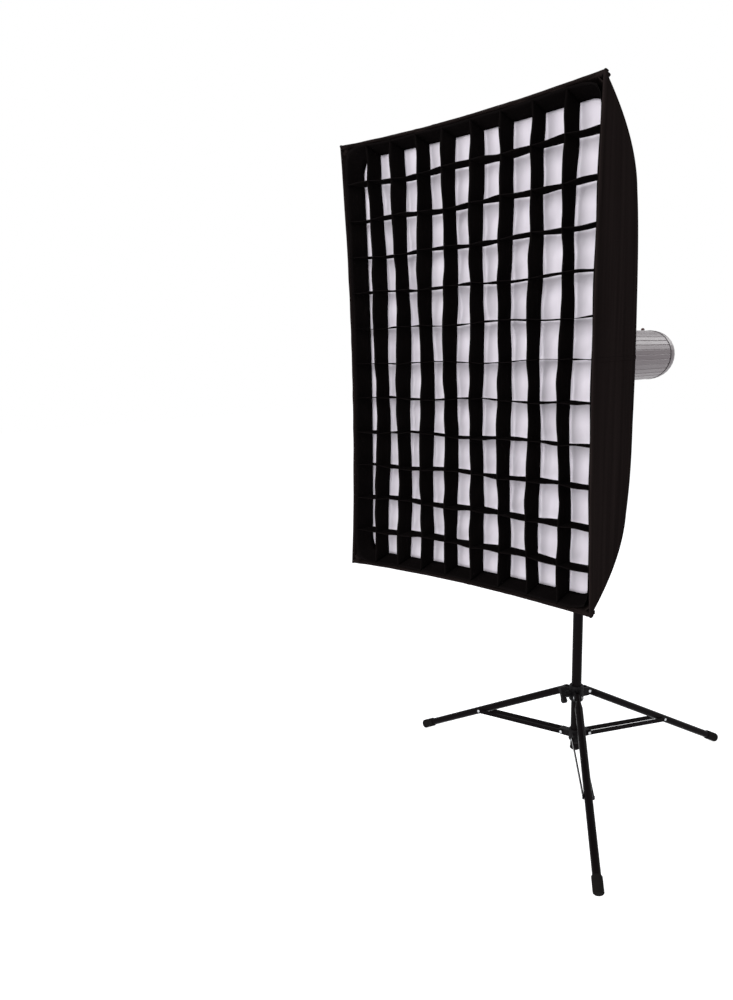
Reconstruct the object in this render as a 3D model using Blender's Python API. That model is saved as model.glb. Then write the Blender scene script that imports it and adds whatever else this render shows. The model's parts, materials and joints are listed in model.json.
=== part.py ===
"""A 60 x 90 cm strip softbox with its fabric grid, on a flash head and a light stand.

The whole thing stands on three folding legs.  The stand's column is the Z axis of the working
frame, the box looks along -Y, and the finished object is shifted so that its origin lies under
the middle of its outline, on the floor.  All sizes are in metres.
"""
import math

import bmesh
import bpy
from mathutils import Matrix, Vector

# Clearances
GAP = 0.0003                # between pieces that touch
RUN = 0.0003                # round a shaft that turns or slides

# Softbox
BOX_WIDTH = 0.600           # outside, across the front edge
BOX_HEIGHT = 0.900
BOX_DEPTH = 0.455           # from the front edge back to the ring
FRONT_REACH = 0.500         # the front edge, ahead of the column
AXIS_HEIGHT = 1.0835        # the flash head's axis above the floor
BOW = 0.43                  # below 1 the ribs bow outwards
ROUND_BACK = 16             # how fast the round back turns into a rectangle
CLOTH = 0.0010              # shell wall
LINING = 0.0008
LIP_DEPTH = 0.085           # inner band that the grid and diffuser hold on to
TOP_SAG = 0.022             # the top edge dips between the ribs
BOTTOM_SAG = 0.010
SIDE_SAG = 0.005
RIB_RADIUS = 0.0025
RIB_TO_WALL = 0.016 / math.sqrt(13)     # from the shell's side wall to the rib's centre
GRID_COLUMNS = 9
GRID_ROWS = 12
GRID_DEPTH = 0.045
GRID_WALL = 0.0014
DIFFUSER_WALL = 0.0010
CORNER_DRAW = 0.010         # how far grid and diffuser corners draw in past the ribs

# Flash head
HEAD_RADIUS = 0.064
RING_MARGIN = 0.036         # from the head's radius out to the shell's round back opening
RING_RADIUS = HEAD_RADIUS + RING_MARGIN
HEAD_WALL = 0.003
HEAD_FRONT = 0.032          # where the finned tube starts, behind the column
HEAD_SEAM = 0.338           # rear ring seam
HEAD_REAR = 0.376
FIN_COUNT = 32
FIN_DEPTH = 0.0012
LARGE_SIDES = 32            # every large round of the head and ring, so that they nest

# Stand
LOWER_RADIUS = 0.0125
MIDDLE_RADIUS = 0.0110
TOP_RADIUS = 0.0095
TUBE_WALL = 0.0012
COLUMN_FOOT = 0.085
LOWER_TOP = 0.720
MIDDLE_FOOT = 0.130
MIDDLE_TOP = 0.800
TOP_FOOT = 0.270
TOP_TOP = AXIS_HEIGHT - HEAD_RADIUS - 0.0895     # leaves room for the tilt bracket
LOCK_HEIGHT = 0.050
LEG_COLLAR_HEIGHT = 0.235
BRACE_COLLAR_HEIGHT = 0.120
HINGE_RADIUS = 0.035        # leg and brace pivots, from the column's axis
FOOT_SPREAD = 0.475         # foot tip, from the column's axis
LEG_RADIUS = 0.0095
LEG_TO_BRACE = 0.278        # along the leg, from its pivot to the brace's rivet
FIRST_LEG = math.radians(-54.6)
LEG_COUNT = 3
TONGUE = 0.0050             # half the width of the leg's flattened end
EAR = 0.0040                # thickness of a fork's ear
PIN_RADIUS = 0.0028
BRACE_BAR = 0.0030
FOOT_RADIUS = 0.0120
FOOT_LENGTH = 0.036
TILT_DROP = HEAD_RADIUS + 0.0245    # from the head's axis down to the tilt pivot
STUD_RADIUS = 0.0080


# ---------------------------------------------------------------- shapes

def points_to_verts(bm, points):
    """Add points to a bmesh and return their vertices."""
    return [bm.verts.new(point) for point in points]


def closed(bm):
    """Turn every face of a finished solid outwards."""
    bmesh.ops.recalc_face_normals(bm, faces=bm.faces)
    return bm


def turned(profile, sides=20, turn=0.0):
    """Solid of revolution about Z from a closed outline of (radius, height) points.

    A point on the axis becomes a pole; an outline clear of the axis gives a bored solid.
    """
    bm = bmesh.new()
    rings = []
    for radius, height in profile:
        count = sides if radius > 0 else 1
        angles = [turn + math.tau * i / sides for i in range(count)]
        rings.append(points_to_verts(
            bm, [(radius * math.cos(a), radius * math.sin(a), height) for a in angles]))
    for ring, following in zip(rings, rings[1:] + rings[:1]):
        for i in range(sides):
            j = (i + 1) % sides
            loop = [ring[i % len(ring)], ring[j % len(ring)],
                    following[j % len(following)], following[i % len(following)]]
            corners = list(dict.fromkeys(loop))
            if len(corners) > 2:
                bm.faces.new(corners)
    return closed(bm)


def lofted(rings):
    """Solid through a row of outlines that have the same number of points."""
    bm = bmesh.new()
    loops = [points_to_verts(bm, ring) for ring in rings]
    for loop, following in zip(loops, loops[1:]):
        for i in range(len(loop)):
            j = (i + 1) % len(loop)
            bm.faces.new((loop[i], loop[j], following[j], following[i]))
    bm.faces.new(loops[0])
    bm.faces.new(loops[-1])
    return closed(bm)


def extruded(outline, low, high, chamfer=0.0):
    """Prism along Z on an outline of (x, y) points, its top and bottom edges chamfered."""
    middle = Vector((0.0, 0.0))
    for point in outline:
        middle += Vector(point) / len(outline)

    def ring(height, shrink):
        points = []
        for point in outline:
            arm = Vector(point) - middle
            kept = middle + arm * (1.0 - shrink / max(arm.length, shrink * 2.0))
            points.append((kept.x, kept.y, height))
        return points

    if chamfer <= 0.0:
        return lofted([ring(low, 0.0), ring(high, 0.0)])
    return lofted([ring(low, chamfer), ring(low + chamfer, 0.0),
                   ring(high - chamfer, 0.0), ring(high, chamfer)])


def rod(path, radius, sides=8):
    """Round bar along a path; its outline is carried along without twisting."""
    path = [Vector(point) for point in path]
    tangents = []
    for i in range(len(path)):
        ahead = path[min(i + 1, len(path) - 1)]
        behind = path[max(i - 1, 0)]
        tangents.append((ahead - behind).normalized())
    across = tangents[0].orthogonal().normalized()
    rings = []
    for point, tangent in zip(path, tangents):
        across = (across - tangent * across.dot(tangent)).normalized()
        up = tangent.cross(across)
        rings.append([point + (across * math.cos(math.tau * i / sides)
                               + up * math.sin(math.tau * i / sides)) * radius
                      for i in range(sides)])
    return lofted(rings)


def slab(front, back, faces):
    """Closed sheet between two layers of points that share one layout of faces."""
    bm = bmesh.new()
    used = sorted({index for face in faces for index in face})
    front_verts = dict(zip(used, points_to_verts(bm, [front[i] for i in used])))
    back_verts = dict(zip(used, points_to_verts(bm, [back[i] for i in used])))
    edges = {}
    for face in faces:
        bm.faces.new([front_verts[i] for i in face])
        bm.faces.new([back_verts[i] for i in reversed(face)])
        for a, b in zip(face, face[1:] + face[:1]):
            key = (min(a, b), max(a, b))
            edges[key] = None if key in edges else (a, b)
    for edge in edges.values():
        if edge:
            # Both walls of a thin twisted strip are split from the same front corner, or they cross.
            a, b = edge
            if a < b:
                bm.faces.new((front_verts[b], front_verts[a], back_verts[b]))
                bm.faces.new((front_verts[a], back_verts[a], back_verts[b]))
            else:
                bm.faces.new((front_verts[b], front_verts[a], back_verts[a]))
                bm.faces.new((front_verts[b], back_verts[a], back_verts[b]))
    return closed(bm)


def grid_faces(columns, rows, skip=None):
    """Quads of a (columns + 1) x (rows + 1) array of points, stored row by row."""
    faces = []
    for j in range(rows):
        for i in range(columns):
            if skip and skip(i, j):
                continue
            corner = j * (columns + 1) + i
            faces.append([corner, corner + 1, corner + columns + 2, corner + columns + 1])
    return faces


def moved(bm, offset=(0, 0, 0), aim=None, spin=0.0):
    """Turn a solid about Z by spin, swing its +Z to aim, then shift it."""
    matrix = Matrix.Translation(offset)
    if aim is not None:
        matrix = matrix @ Vector((0, 0, 1)).rotation_difference(Vector(aim)).to_matrix().to_4x4()
    bm.transform(matrix @ Matrix.Rotation(spin, 4, "Z"))
    return bm


def boolean(body, tools, operation):
    """Cut tools from a solid, or weld them to it, with exact Boolean modifiers."""
    pieces = []
    for bm in [body] + tools:
        mesh = bpy.data.meshes.new("operand")
        bm.to_mesh(mesh)
        bm.free()
        piece = bpy.data.objects.new("operand", mesh)
        bpy.context.collection.objects.link(piece)
        pieces.append(piece)
    for tool in pieces[1:]:
        modifier = pieces[0].modifiers.new("cut", "BOOLEAN")
        modifier.operation = operation
        modifier.solver = "EXACT"
        modifier.object = tool
    result = bmesh.new()
    bpy.context.view_layer.update()
    result.from_object(pieces[0], bpy.context.evaluated_depsgraph_get())
    for piece in pieces:
        bpy.data.meshes.remove(piece.data)
    bmesh.ops.dissolve_degenerate(result, dist=1e-7, edges=result.edges)
    return result


def cut(body, *tools):
    """Take tools away from a solid."""
    return boolean(body, list(tools), "DIFFERENCE")


def welded(body, *tools):
    """Join overlapping solids into one."""
    return boolean(body, list(tools), "UNION")


def circle(radius, sides, centre=(0.0, 0.0), turn=0.0):
    """Points round a circle."""
    return [(centre[0] + radius * math.cos(turn + math.tau * i / sides),
             centre[1] + radius * math.sin(turn + math.tau * i / sides)) for i in range(sides)]


def arc(radius, start, stop, steps, centre=(0.0, 0.0)):
    """Points along part of a circle, both ends included."""
    return [(centre[0] + radius * math.cos(start + (stop - start) * i / steps),
             centre[1] + radius * math.sin(start + (stop - start) * i / steps))
            for i in range(steps + 1)]


def cylinder(radius, low, high, sides=12):
    """Plain round solid along Z."""
    return turned([(0.0, low), (radius, low), (radius, high), (0.0, high)], sides)


def block(low, high):
    """Box between two corners."""
    outline = [(low[0], low[1]), (high[0], low[1]), (high[0], high[1]), (low[0], high[1])]
    return extruded(outline, low[2], high[2])


# ---------------------------------------------------------------- objects and joints

def material(name, colour, roughness, metallic=0.0):
    """A plain Principled finish."""
    finish = bpy.data.materials.new(name)
    finish.use_nodes = True
    shader = finish.node_tree.nodes["Principled BSDF"]
    shader.inputs["Base Color"].default_value = (*colour, 1.0)
    shader.inputs["Roughness"].default_value = roughness
    shader.inputs["Metallic"].default_value = metallic
    finish.diffuse_color = (*colour, 1.0)
    return finish


def node(name, bm, finish, parent, sharp=32.0):
    """Link a finished solid as a named sub-part under the empty that carries it."""
    mesh = bpy.data.meshes.new(name)
    bm.to_mesh(mesh)
    bm.free()
    mesh.shade_smooth()
    mesh.set_sharp_from_angle(angle=math.radians(sharp))
    mesh.materials.append(finish)
    part = bpy.data.objects.new(name, mesh)
    bpy.context.collection.objects.link(part)
    part.parent = parent
    return part


def joint(name, parent, location=(0, 0, 0), turn=0.0):
    """An empty on a joint's axis; location is relative to the parent's axis."""
    empty = bpy.data.objects.new(name, None)
    bpy.context.collection.objects.link(empty)
    empty.parent = parent
    empty.location = location
    empty.rotation_euler = (0.0, 0.0, turn)
    return empty


for leftover in list(bpy.data.objects):
    bpy.data.objects.remove(leftover, do_unlink=True)

BLACK_PAINT = material("black_paint", (0.012, 0.012, 0.013), 0.35, 0.0)
BLACK_PLASTIC = material("black_plastic", (0.018, 0.018, 0.019), 0.45)
RUBBER = material("rubber", (0.02, 0.02, 0.02), 0.8)
STEEL = material("steel", (0.62, 0.62, 0.63), 0.3, 1.0)
BLACK_CLOTH = material("black_cloth", (0.01, 0.01, 0.011), 0.85)
SILVER_CLOTH = material("silver_cloth", (0.72, 0.70, 0.73), 0.35, 0.8)
WHITE_CLOTH = material("white_cloth", (0.86, 0.86, 0.9), 0.9)
HEAD_GREY = material("head_grey", (0.16, 0.145, 0.155), 0.45)
GLASS = material("frosted_glass", (0.9, 0.88, 0.82), 0.3)

base = joint("base_frame", None)


# ---------------------------------------------------------------- column and locks

LOCK_RADIUS = 0.0190
KNOB_REACH = 0.031          # where a lock knob's grip starts, from the column's axis
SCREW_RADIUS = 0.0030
SCREW_DEPTH = 0.011


def tube(outer, wall, low, high):
    """Open round tube."""
    return turned([(outer, low), (outer, high), (outer - wall, high), (outer - wall, low)])


def grip_knob(lobes=5, radius=0.0135, length=0.017):
    """Lobed clamping knob on its screw; the grip starts at z = 0 and the screw runs below."""
    outline = [(radius * (1.0 + 0.10 * math.cos(lobes * a)) * math.cos(a),
                radius * (1.0 + 0.10 * math.cos(lobes * a)) * math.sin(a))
               for a in [math.tau * i / 30 for i in range(30)]]
    grip = extruded(outline, 0.0, length, chamfer=0.0015)
    screw = cylinder(SCREW_RADIUS, -SCREW_DEPTH, 0.002, 8)
    return welded(grip, screw)


def wing_knob(span=0.021, thickness=0.0070, length=0.016):
    """Two-winged clamping knob on its screw, as on the leg collar."""
    wing = arc(0.0075, -math.pi / 2.6, math.pi / 2.6, 4, (span - 0.0075, 0.0))
    waist = [(0.0065, thickness * 0.6), (-0.0065, thickness * 0.6)]
    other = arc(0.0075, math.pi - math.pi / 2.6, math.pi + math.pi / 2.6, 4, (0.0075 - span, 0.0))
    outline = wing + waist + other + [(-x, -y) for x, y in waist]
    grip = extruded(outline, 0.004, length, chamfer=0.0012)
    hub = cylinder(0.0070, 0.0, length - 0.004, 12)
    screw = cylinder(SCREW_RADIUS, -SCREW_DEPTH, 0.002, 8)
    return welded(grip, hub, screw)


def lock_housing(low, high, tube_top, outer, inner):
    """Moulded collar over a tube's end, with a boss at the back for its clamping screw."""
    shell = turned([(outer + GAP, low), (LOCK_RADIUS - 0.002, low), (LOCK_RADIUS, low + 0.002),
                    (LOCK_RADIUS, low + 0.012), (LOCK_RADIUS - 0.0012, low + 0.014),
                    (LOCK_RADIUS - 0.0012, high - 0.006), (LOCK_RADIUS - 0.0035, high),
                    (inner + RUN, high), (inner + RUN, tube_top + GAP),
                    (outer + GAP, tube_top + GAP)])
    middle = (low + high) / 2
    boss = moved(cylinder(0.0085, LOCK_RADIUS - 0.004, KNOB_REACH - GAP),
                 (0, 0, middle), aim=(0, 1, 0))
    bore = moved(cylinder(SCREW_RADIUS + RUN, KNOB_REACH - SCREW_DEPTH - GAP, KNOB_REACH + 0.01, 8),
                 (0, 0, middle), aim=(0, 1, 0))
    return cut(welded(shell, boss), bore)


node("lower_tube", tube(LOWER_RADIUS, TUBE_WALL, COLUMN_FOOT, LOWER_TOP), BLACK_PAINT, base)

PLUG_HEIGHT = 0.006
plug_bore = LOWER_RADIUS - TUBE_WALL - GAP
node("column_end_plug",
     turned([(0.0, COLUMN_FOOT - GAP - PLUG_HEIGHT), (LOWER_RADIUS - 0.002, COLUMN_FOOT - GAP - PLUG_HEIGHT),
             (LOWER_RADIUS + 0.001, COLUMN_FOOT - GAP - 0.003), (LOWER_RADIUS + 0.001, COLUMN_FOOT - GAP),
             (plug_bore, COLUMN_FOOT - GAP), (plug_bore, COLUMN_FOOT + 0.007), (0.0, COLUMN_FOOT + 0.007)]),
     BLACK_PLASTIC, base)

LOWER_LOCK_LOW = LOWER_TOP - 0.045
LOWER_LOCK_HIGH = LOWER_LOCK_LOW + LOCK_HEIGHT
UPPER_LOCK_LOW = MIDDLE_TOP - 0.040
UPPER_LOCK_HIGH = UPPER_LOCK_LOW + LOCK_HEIGHT
node("lower_lock_housing",
     lock_housing(LOWER_LOCK_LOW, LOWER_LOCK_HIGH, LOWER_TOP, LOWER_RADIUS, MIDDLE_RADIUS),
     BLACK_PLASTIC, base)
lower_knob = joint("lower_lock_knob_axis", base, (0, KNOB_REACH, (LOWER_LOCK_LOW + LOWER_LOCK_HIGH) / 2))
node("lower_lock_knob", moved(grip_knob(), aim=(0, 1, 0)), BLACK_PLASTIC, lower_knob)

middle_slide = joint("middle_tube_axis", base)
node("middle_tube", tube(MIDDLE_RADIUS, TUBE_WALL, MIDDLE_FOOT, MIDDLE_TOP), BLACK_PAINT, middle_slide)
node("upper_lock_housing",
     lock_housing(UPPER_LOCK_LOW, UPPER_LOCK_HIGH, MIDDLE_TOP, MIDDLE_RADIUS, TOP_RADIUS),
     BLACK_PLASTIC, middle_slide)
upper_knob = joint("upper_lock_knob_axis", middle_slide,
                   (0, KNOB_REACH, (UPPER_LOCK_LOW + UPPER_LOCK_HIGH) / 2))
node("upper_lock_knob", moved(grip_knob(), aim=(0, 1, 0)), BLACK_PLASTIC, upper_knob)

top_slide = joint("top_tube_axis", middle_slide)
node("top_tube", tube(TOP_RADIUS, TUBE_WALL, TOP_FOOT, TOP_TOP), BLACK_PAINT, top_slide)

STUD_TOP = TOP_TOP + 0.042
spigot = TOP_RADIUS - TUBE_WALL - GAP
node("stud",
     turned([(0.0, TOP_TOP - 0.030), (spigot, TOP_TOP - 0.030), (spigot, TOP_TOP + GAP),
             (TOP_RADIUS + 0.0005, TOP_TOP + GAP), (TOP_RADIUS + 0.0005, TOP_TOP + 0.004),
             (STUD_RADIUS, TOP_TOP + 0.0045), (STUD_RADIUS, TOP_TOP + 0.018),
             (STUD_RADIUS - 0.0015, TOP_TOP + 0.0195), (STUD_RADIUS - 0.0015, TOP_TOP + 0.0255),
             (STUD_RADIUS, TOP_TOP + 0.027), (STUD_RADIUS, STUD_TOP - 0.001),
             (STUD_RADIUS - 0.001, STUD_TOP), (0.0, STUD_TOP)], 16),
     STEEL, top_slide)


# ---------------------------------------------------------------- legs and their linkage

leg_run = FOOT_SPREAD - HINGE_RADIUS
foot_drop = LEG_COLLAR_HEIGHT - FOOT_RADIUS * 0.80
LEG_LENGTH = math.hypot(leg_run, foot_drop)
LEG_ANGLE = math.atan2(leg_run, foot_drop)              # from straight down, legs open
rivet_reach = LEG_TO_BRACE * math.sin(LEG_ANGLE)
rivet_drop = LEG_COLLAR_HEIGHT - BRACE_COLLAR_HEIGHT - LEG_TO_BRACE * math.cos(LEG_ANGLE)
BRACE_LENGTH = math.hypot(rivet_reach, rivet_drop)
BRACE_ANGLE = math.atan2(rivet_drop, rivet_reach)       # above the horizontal, legs open
LEG_AZIMUTHS = [FIRST_LEG + math.tau * k / LEG_COUNT for k in range(LEG_COUNT)]
EAR_INNER = TONGUE + RUN
EAR_OUTER = EAR_INNER + EAR
BAR_INNER = LEG_RADIUS + GAP
BAR_OUTER = BAR_INNER + BRACE_BAR
LUG_END = HINGE_RADIUS + 0.0085
LUG_START = 0.012
COLLAR_WALL = 0.0045
KNOB_AZIMUTH = (LEG_AZIMUTHS[-1] + LEG_AZIMUTHS[0] + math.tau) / 2


def across(low, high, radius, height=0.0, sides=10):
    """Round pin that lies along Y at the leg hinge's radius, seen from the column's axis."""
    pin = cylinder(radius, low, high, sides)
    return moved(pin, (HINGE_RADIUS, 0, height), aim=(0, 1, 0))


def lug(low, high, half_height):
    """Ear of a collar between two sideways limits, rounded where the pin goes through."""
    nose = arc(LUG_END - HINGE_RADIUS, -math.pi / 2.4, math.pi / 2.4, 4, (HINGE_RADIUS, 0.0))
    outline = [(LUG_START, -half_height), (HINGE_RADIUS - 0.004, -half_height)] + nose + [
        (HINGE_RADIUS - 0.004, half_height), (LUG_START, half_height)]
    return stand_up(extruded(outline, low, high))


def stand_up(bm):
    """Turn a plate drawn in X-Y so that its outline's second axis becomes Z."""
    bm.transform(Matrix.Rotation(math.pi / 2, 4, "X"))
    return bm


def turned_to(bm, azimuth, height=0.0):
    """Turn a solid about the column and lift it."""
    bm.transform(Matrix.Translation((0, 0, height)) @ Matrix.Rotation(azimuth, 4, "Z"))
    return bm


def brace_collar():
    """Fixed collar at the column's foot with a bored lug for each brace."""
    ring = turned([(LOWER_RADIUS + GAP, -0.015), (LOWER_RADIUS + COLLAR_WALL - 0.001, -0.015),
                   (LOWER_RADIUS + COLLAR_WALL, -0.014), (LOWER_RADIUS + COLLAR_WALL, 0.014),
                   (LOWER_RADIUS + COLLAR_WALL - 0.001, 0.015), (LOWER_RADIUS + GAP, 0.015)], 20)
    lugs = [turned_to(lug(-LEG_RADIUS, LEG_RADIUS, 0.0080), azimuth) for azimuth in LEG_AZIMUTHS]
    bore = cylinder(LOWER_RADIUS + GAP, -0.02, 0.02, 20)
    holes = [turned_to(across(-0.012, 0.012, PIN_RADIUS + RUN), azimuth) for azimuth in LEG_AZIMUTHS]
    return cut(welded(ring, *lugs), bore, *holes)


def leg_collar():
    """Sliding collar: a fork of two ears for each leg, with the leg's pin riveted across it."""
    ring = turned([(LOWER_RADIUS + RUN, -0.020), (LOWER_RADIUS + COLLAR_WALL, -0.020),
                   (LOWER_RADIUS + COLLAR_WALL + 0.0015, -0.017),
                   (LOWER_RADIUS + COLLAR_WALL + 0.0015, 0.015),
                   (LOWER_RADIUS + COLLAR_WALL, 0.020), (LOWER_RADIUS + RUN, 0.020)], 20)
    ears = []
    for azimuth in LEG_AZIMUTHS:
        ears.append(turned_to(lug(EAR_INNER, EAR_OUTER, 0.0110), azimuth))
        ears.append(turned_to(lug(-EAR_OUTER, -EAR_INNER, 0.0110), azimuth))
        ears.append(turned_to(across(-EAR_OUTER - 0.0015, EAR_OUTER + 0.0015, PIN_RADIUS), azimuth))
    boss = moved(cylinder(0.0085, LOWER_RADIUS + 0.001, KNOB_REACH - GAP), (0, 0, 0),
                 aim=(math.cos(KNOB_AZIMUTH), math.sin(KNOB_AZIMUTH), 0))
    bore = cylinder(LOWER_RADIUS + RUN, -0.03, 0.03, 20)
    screw_hole = moved(cylinder(SCREW_RADIUS + RUN, KNOB_REACH - SCREW_DEPTH - GAP, KNOB_REACH + 0.01, 8),
                       (0, 0, 0), aim=(math.cos(KNOB_AZIMUTH), math.sin(KNOB_AZIMUTH), 0))
    return cut(welded(ring, boss, *ears), bore, screw_hole)


def along_leg(distance, sideways=0.0):
    """Point on the leg's centre line, or beside it, seen from its hinge."""
    return Vector((math.sin(LEG_ANGLE) * distance, sideways, -math.cos(LEG_ANGLE) * distance))


def leg():
    """Tube whose top end is pressed flat to a rounded tongue and bored for its pin."""
    down = along_leg(1.0)
    square = Vector((0, 1, 0)).cross(down)
    rings = []
    for distance, half_width, half_depth in (
            (-0.0095, TONGUE, 0.0035), (-0.0070, TONGUE, 0.0068), (-0.0020, TONGUE, 0.0092),
            (0.0140, TONGUE, LEG_RADIUS), (0.0320, LEG_RADIUS, LEG_RADIUS),
            (LEG_LENGTH - 0.0035, LEG_RADIUS, LEG_RADIUS)):
        centre = down * distance
        flat = half_width < half_depth
        ring = []
        for x, y in circle(1.0, 16, turn=math.tau / 32):
            if flat:
                x = math.copysign(min(abs(x) * 2.0, 1.0), x)
            ring.append(centre + Vector((0, 1, 0)) * half_width * x + square * half_depth * y)
        rings.append(ring)
    hole = moved(cylinder(PIN_RADIUS + RUN, -0.012, 0.012, 12), aim=(0, 1, 0))
    return cut(lofted(rings), hole)


def foot():
    """Moulded cap over the leg's end, cut flat where it stands on the floor."""
    length = LEG_LENGTH
    cap = turned([(LEG_RADIUS + GAP, length - FOOT_LENGTH), (FOOT_RADIUS - 0.001, length - FOOT_LENGTH),
                  (FOOT_RADIUS, length - FOOT_LENGTH + 0.0015), (FOOT_RADIUS, length - 0.001),
                  (FOOT_RADIUS - 0.0025, length + 0.0015), (0.0, length + 0.0020),
                  (0.0, length - 0.0035 + GAP), (LEG_RADIUS + GAP, length - 0.0035 + GAP)], 16)
    moved(cap, aim=along_leg(1.0))
    floor = Vector((0, 0, -LEG_COLLAR_HEIGHT))
    bmesh.ops.bisect_plane(cap, geom=cap.verts[:] + cap.edges[:] + cap.faces[:], dist=1e-7,
                           plane_co=floor, plane_no=(0, 0, -1), clear_outer=True)
    open_edges = [edge for edge in cap.edges if edge.is_boundary]
    bmesh.ops.edgeloop_fill(cap, edges=open_edges)
    return closed(cap)


def brace():
    """Two flat bars either side of the lug and the leg, on one pin, with rivet heads outside."""
    reach = Vector((math.cos(BRACE_ANGLE), 0, math.sin(BRACE_ANGLE))) * BRACE_LENGTH
    half = 0.0055
    outline = (arc(half, -math.pi / 2, math.pi / 2, 4, (BRACE_LENGTH, 0.0))
               + arc(half, math.pi / 2, 3 * math.pi / 2, 4, (0.0, 0.0)))
    solids = []
    for side in (1, -1):
        low, high = sorted((side * BAR_INNER, side * BAR_OUTER))
        bar = stand_up(extruded(outline, low, high))
        bar.transform(Matrix.Rotation(-BRACE_ANGLE, 4, "Y"))
        low, high = sorted((side * (BAR_OUTER - 0.0005), side * (BAR_OUTER + 0.0013)))
        solids += [bar, moved(cylinder(0.0042, low, high, 8), reach, aim=(0, 1, 0))]
    pin = moved(cylinder(PIN_RADIUS, -BAR_OUTER - 0.0013, BAR_OUTER + 0.0013, 10), aim=(0, 1, 0))
    return welded(pin, *solids)


node("brace_collar", turned_to(brace_collar(), 0.0, BRACE_COLLAR_HEIGHT), BLACK_PLASTIC, base)
leg_slide = joint("leg_collar_axis", base, (0, 0, LEG_COLLAR_HEIGHT))
node("leg_collar", leg_collar(), BLACK_PLASTIC, leg_slide)
knob_arm = Vector((math.cos(KNOB_AZIMUTH), math.sin(KNOB_AZIMUTH), 0))
leg_knob = joint("leg_collar_knob_axis", leg_slide, knob_arm * KNOB_REACH)
node("leg_collar_knob", moved(wing_knob(), aim=knob_arm, spin=math.pi / 2), BLACK_PLASTIC, leg_knob)

for number, azimuth in enumerate(LEG_AZIMUTHS, start=1):
    arm = Vector((math.cos(azimuth), math.sin(azimuth), 0)) * HINGE_RADIUS
    leg_hinge = joint(f"leg_{number}_axis", leg_slide, arm, azimuth)
    node(f"leg_{number}", leg(), BLACK_PAINT, leg_hinge)
    node(f"foot_{number}", foot(), RUBBER, leg_hinge)
    brace_hinge = joint(f"brace_{number}_axis", base, arm + Vector((0, 0, BRACE_COLLAR_HEIGHT)), azimuth)
    node(f"brace_{number}", brace(), BLACK_PAINT, brace_hinge)


# ---------------------------------------------------------------- tilt bracket

TILT_HEIGHT = AXIS_HEIGHT - TILT_DROP
SOCKET_RADIUS = 0.0165
SOCKET_LOW = TOP_TOP + 0.0050
SOCKET_TOP = STUD_TOP + 0.0030
TILT_TONGUE = 0.0080        # half the width of the head's tongue
TILT_EAR = 0.0055
BOLT_RADIUS = 0.0038
SADDLE_WIDTH = 0.017
SADDLE_LENGTH = 0.032
CHEEK_RADIUS = 0.0150


def cheek(low, high):
    """Ear of the bracket's fork, rounded about the tilt bolt; drawn from the pivot."""
    bottom = SOCKET_TOP - TILT_HEIGHT - 0.003
    outline = [(CHEEK_RADIUS, bottom)] + arc(CHEEK_RADIUS, 0.0, math.pi, 10) + [(-CHEEK_RADIUS, bottom)]
    plate = extruded(outline, low, high)
    plate.transform(Matrix.Rotation(math.pi / 2, 4, "Z") @ Matrix.Rotation(math.pi / 2, 4, "X"))
    return plate


def stud_socket():
    """Cast socket that drops over the stud, with a fork above and a boss for its screw."""
    low, top = SOCKET_LOW - TILT_HEIGHT, SOCKET_TOP - TILT_HEIGHT
    body = turned([(0.0, top), (0.0, low), (SOCKET_RADIUS - 0.0015, low), (SOCKET_RADIUS, low + 0.0015),
                   (SOCKET_RADIUS, top - 0.002), (SOCKET_RADIUS - 0.001, top)][::-1])
    inner, outer = TILT_TONGUE + RUN, TILT_TONGUE + RUN + TILT_EAR
    boss = moved(cylinder(0.0085, SOCKET_RADIUS - 0.004, KNOB_REACH - GAP), (0, 0, (low + top) / 2),
                 aim=(0, 1, 0))
    bore = cylinder(STUD_RADIUS + RUN, low - 0.01, STUD_TOP + GAP - TILT_HEIGHT, 20)
    screw = moved(cylinder(SCREW_RADIUS + RUN, SOCKET_RADIUS - 0.006, KNOB_REACH + 0.01, 8),
                  (0, 0, (low + top) / 2), aim=(0, 1, 0))
    cross = moved(cylinder(BOLT_RADIUS + RUN, -0.03, 0.03), aim=(1, 0, 0))
    return cut(welded(body, cheek(inner, outer), cheek(-outer, -inner), boss), bore, screw, cross)


def tilt_bolt():
    """Bolt through the fork with a hexagon head at the left and a threaded end at the right."""
    outer = TILT_TONGUE + RUN + TILT_EAR
    head = moved(extruded(circle(0.0075, 6), -outer - GAP - 0.005, -outer - GAP, 0.0008), aim=(1, 0, 0))
    shaft = moved(cylinder(BOLT_RADIUS, -outer - GAP - 0.002, outer + 0.011), aim=(1, 0, 0))
    return welded(head, shaft)


def tilt_lever():
    """Clamping lever on the bolt's end: a hub and a curved arm with a rounded grip."""
    outer = TILT_TONGUE + RUN + TILT_EAR + GAP
    hub = moved(turned([(0.0, outer), (0.0110, outer), (0.0110, outer + 0.010), (0.0090, outer + 0.014),
                        (0.0, outer + 0.014)][::-1]), aim=(1, 0, 0))
    path = [(outer + 0.008, 0.0, 0.0), (outer + 0.012, 0.014, -0.006), (outer + 0.018, 0.030, -0.012),
            (outer + 0.021, 0.046, -0.018), (outer + 0.022, 0.062, -0.024)]
    arm = rod(path, 0.0050)
    hole = moved(cylinder(BOLT_RADIUS + RUN, outer - 0.01, outer + 0.0112 + GAP), aim=(1, 0, 0))
    return cut(welded(hub, arm), hole)


pan = joint("pan_axis", top_slide, (0, 0, TILT_HEIGHT))
node("stud_socket", stud_socket(), BLACK_PAINT, pan)
node("tilt_bolt", tilt_bolt(), STEEL, pan)
socket_knob = joint("socket_knob_axis", pan, (0, KNOB_REACH, (SOCKET_LOW + SOCKET_TOP) / 2 - TILT_HEIGHT))
node("socket_knob", moved(grip_knob(radius=0.0115, length=0.014), aim=(0, 1, 0)), BLACK_PLASTIC,
     socket_knob)
lever_axis = joint("tilt_lever_axis", pan)
node("tilt_lever", tilt_lever(), BLACK_PLASTIC, lever_axis)


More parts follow.
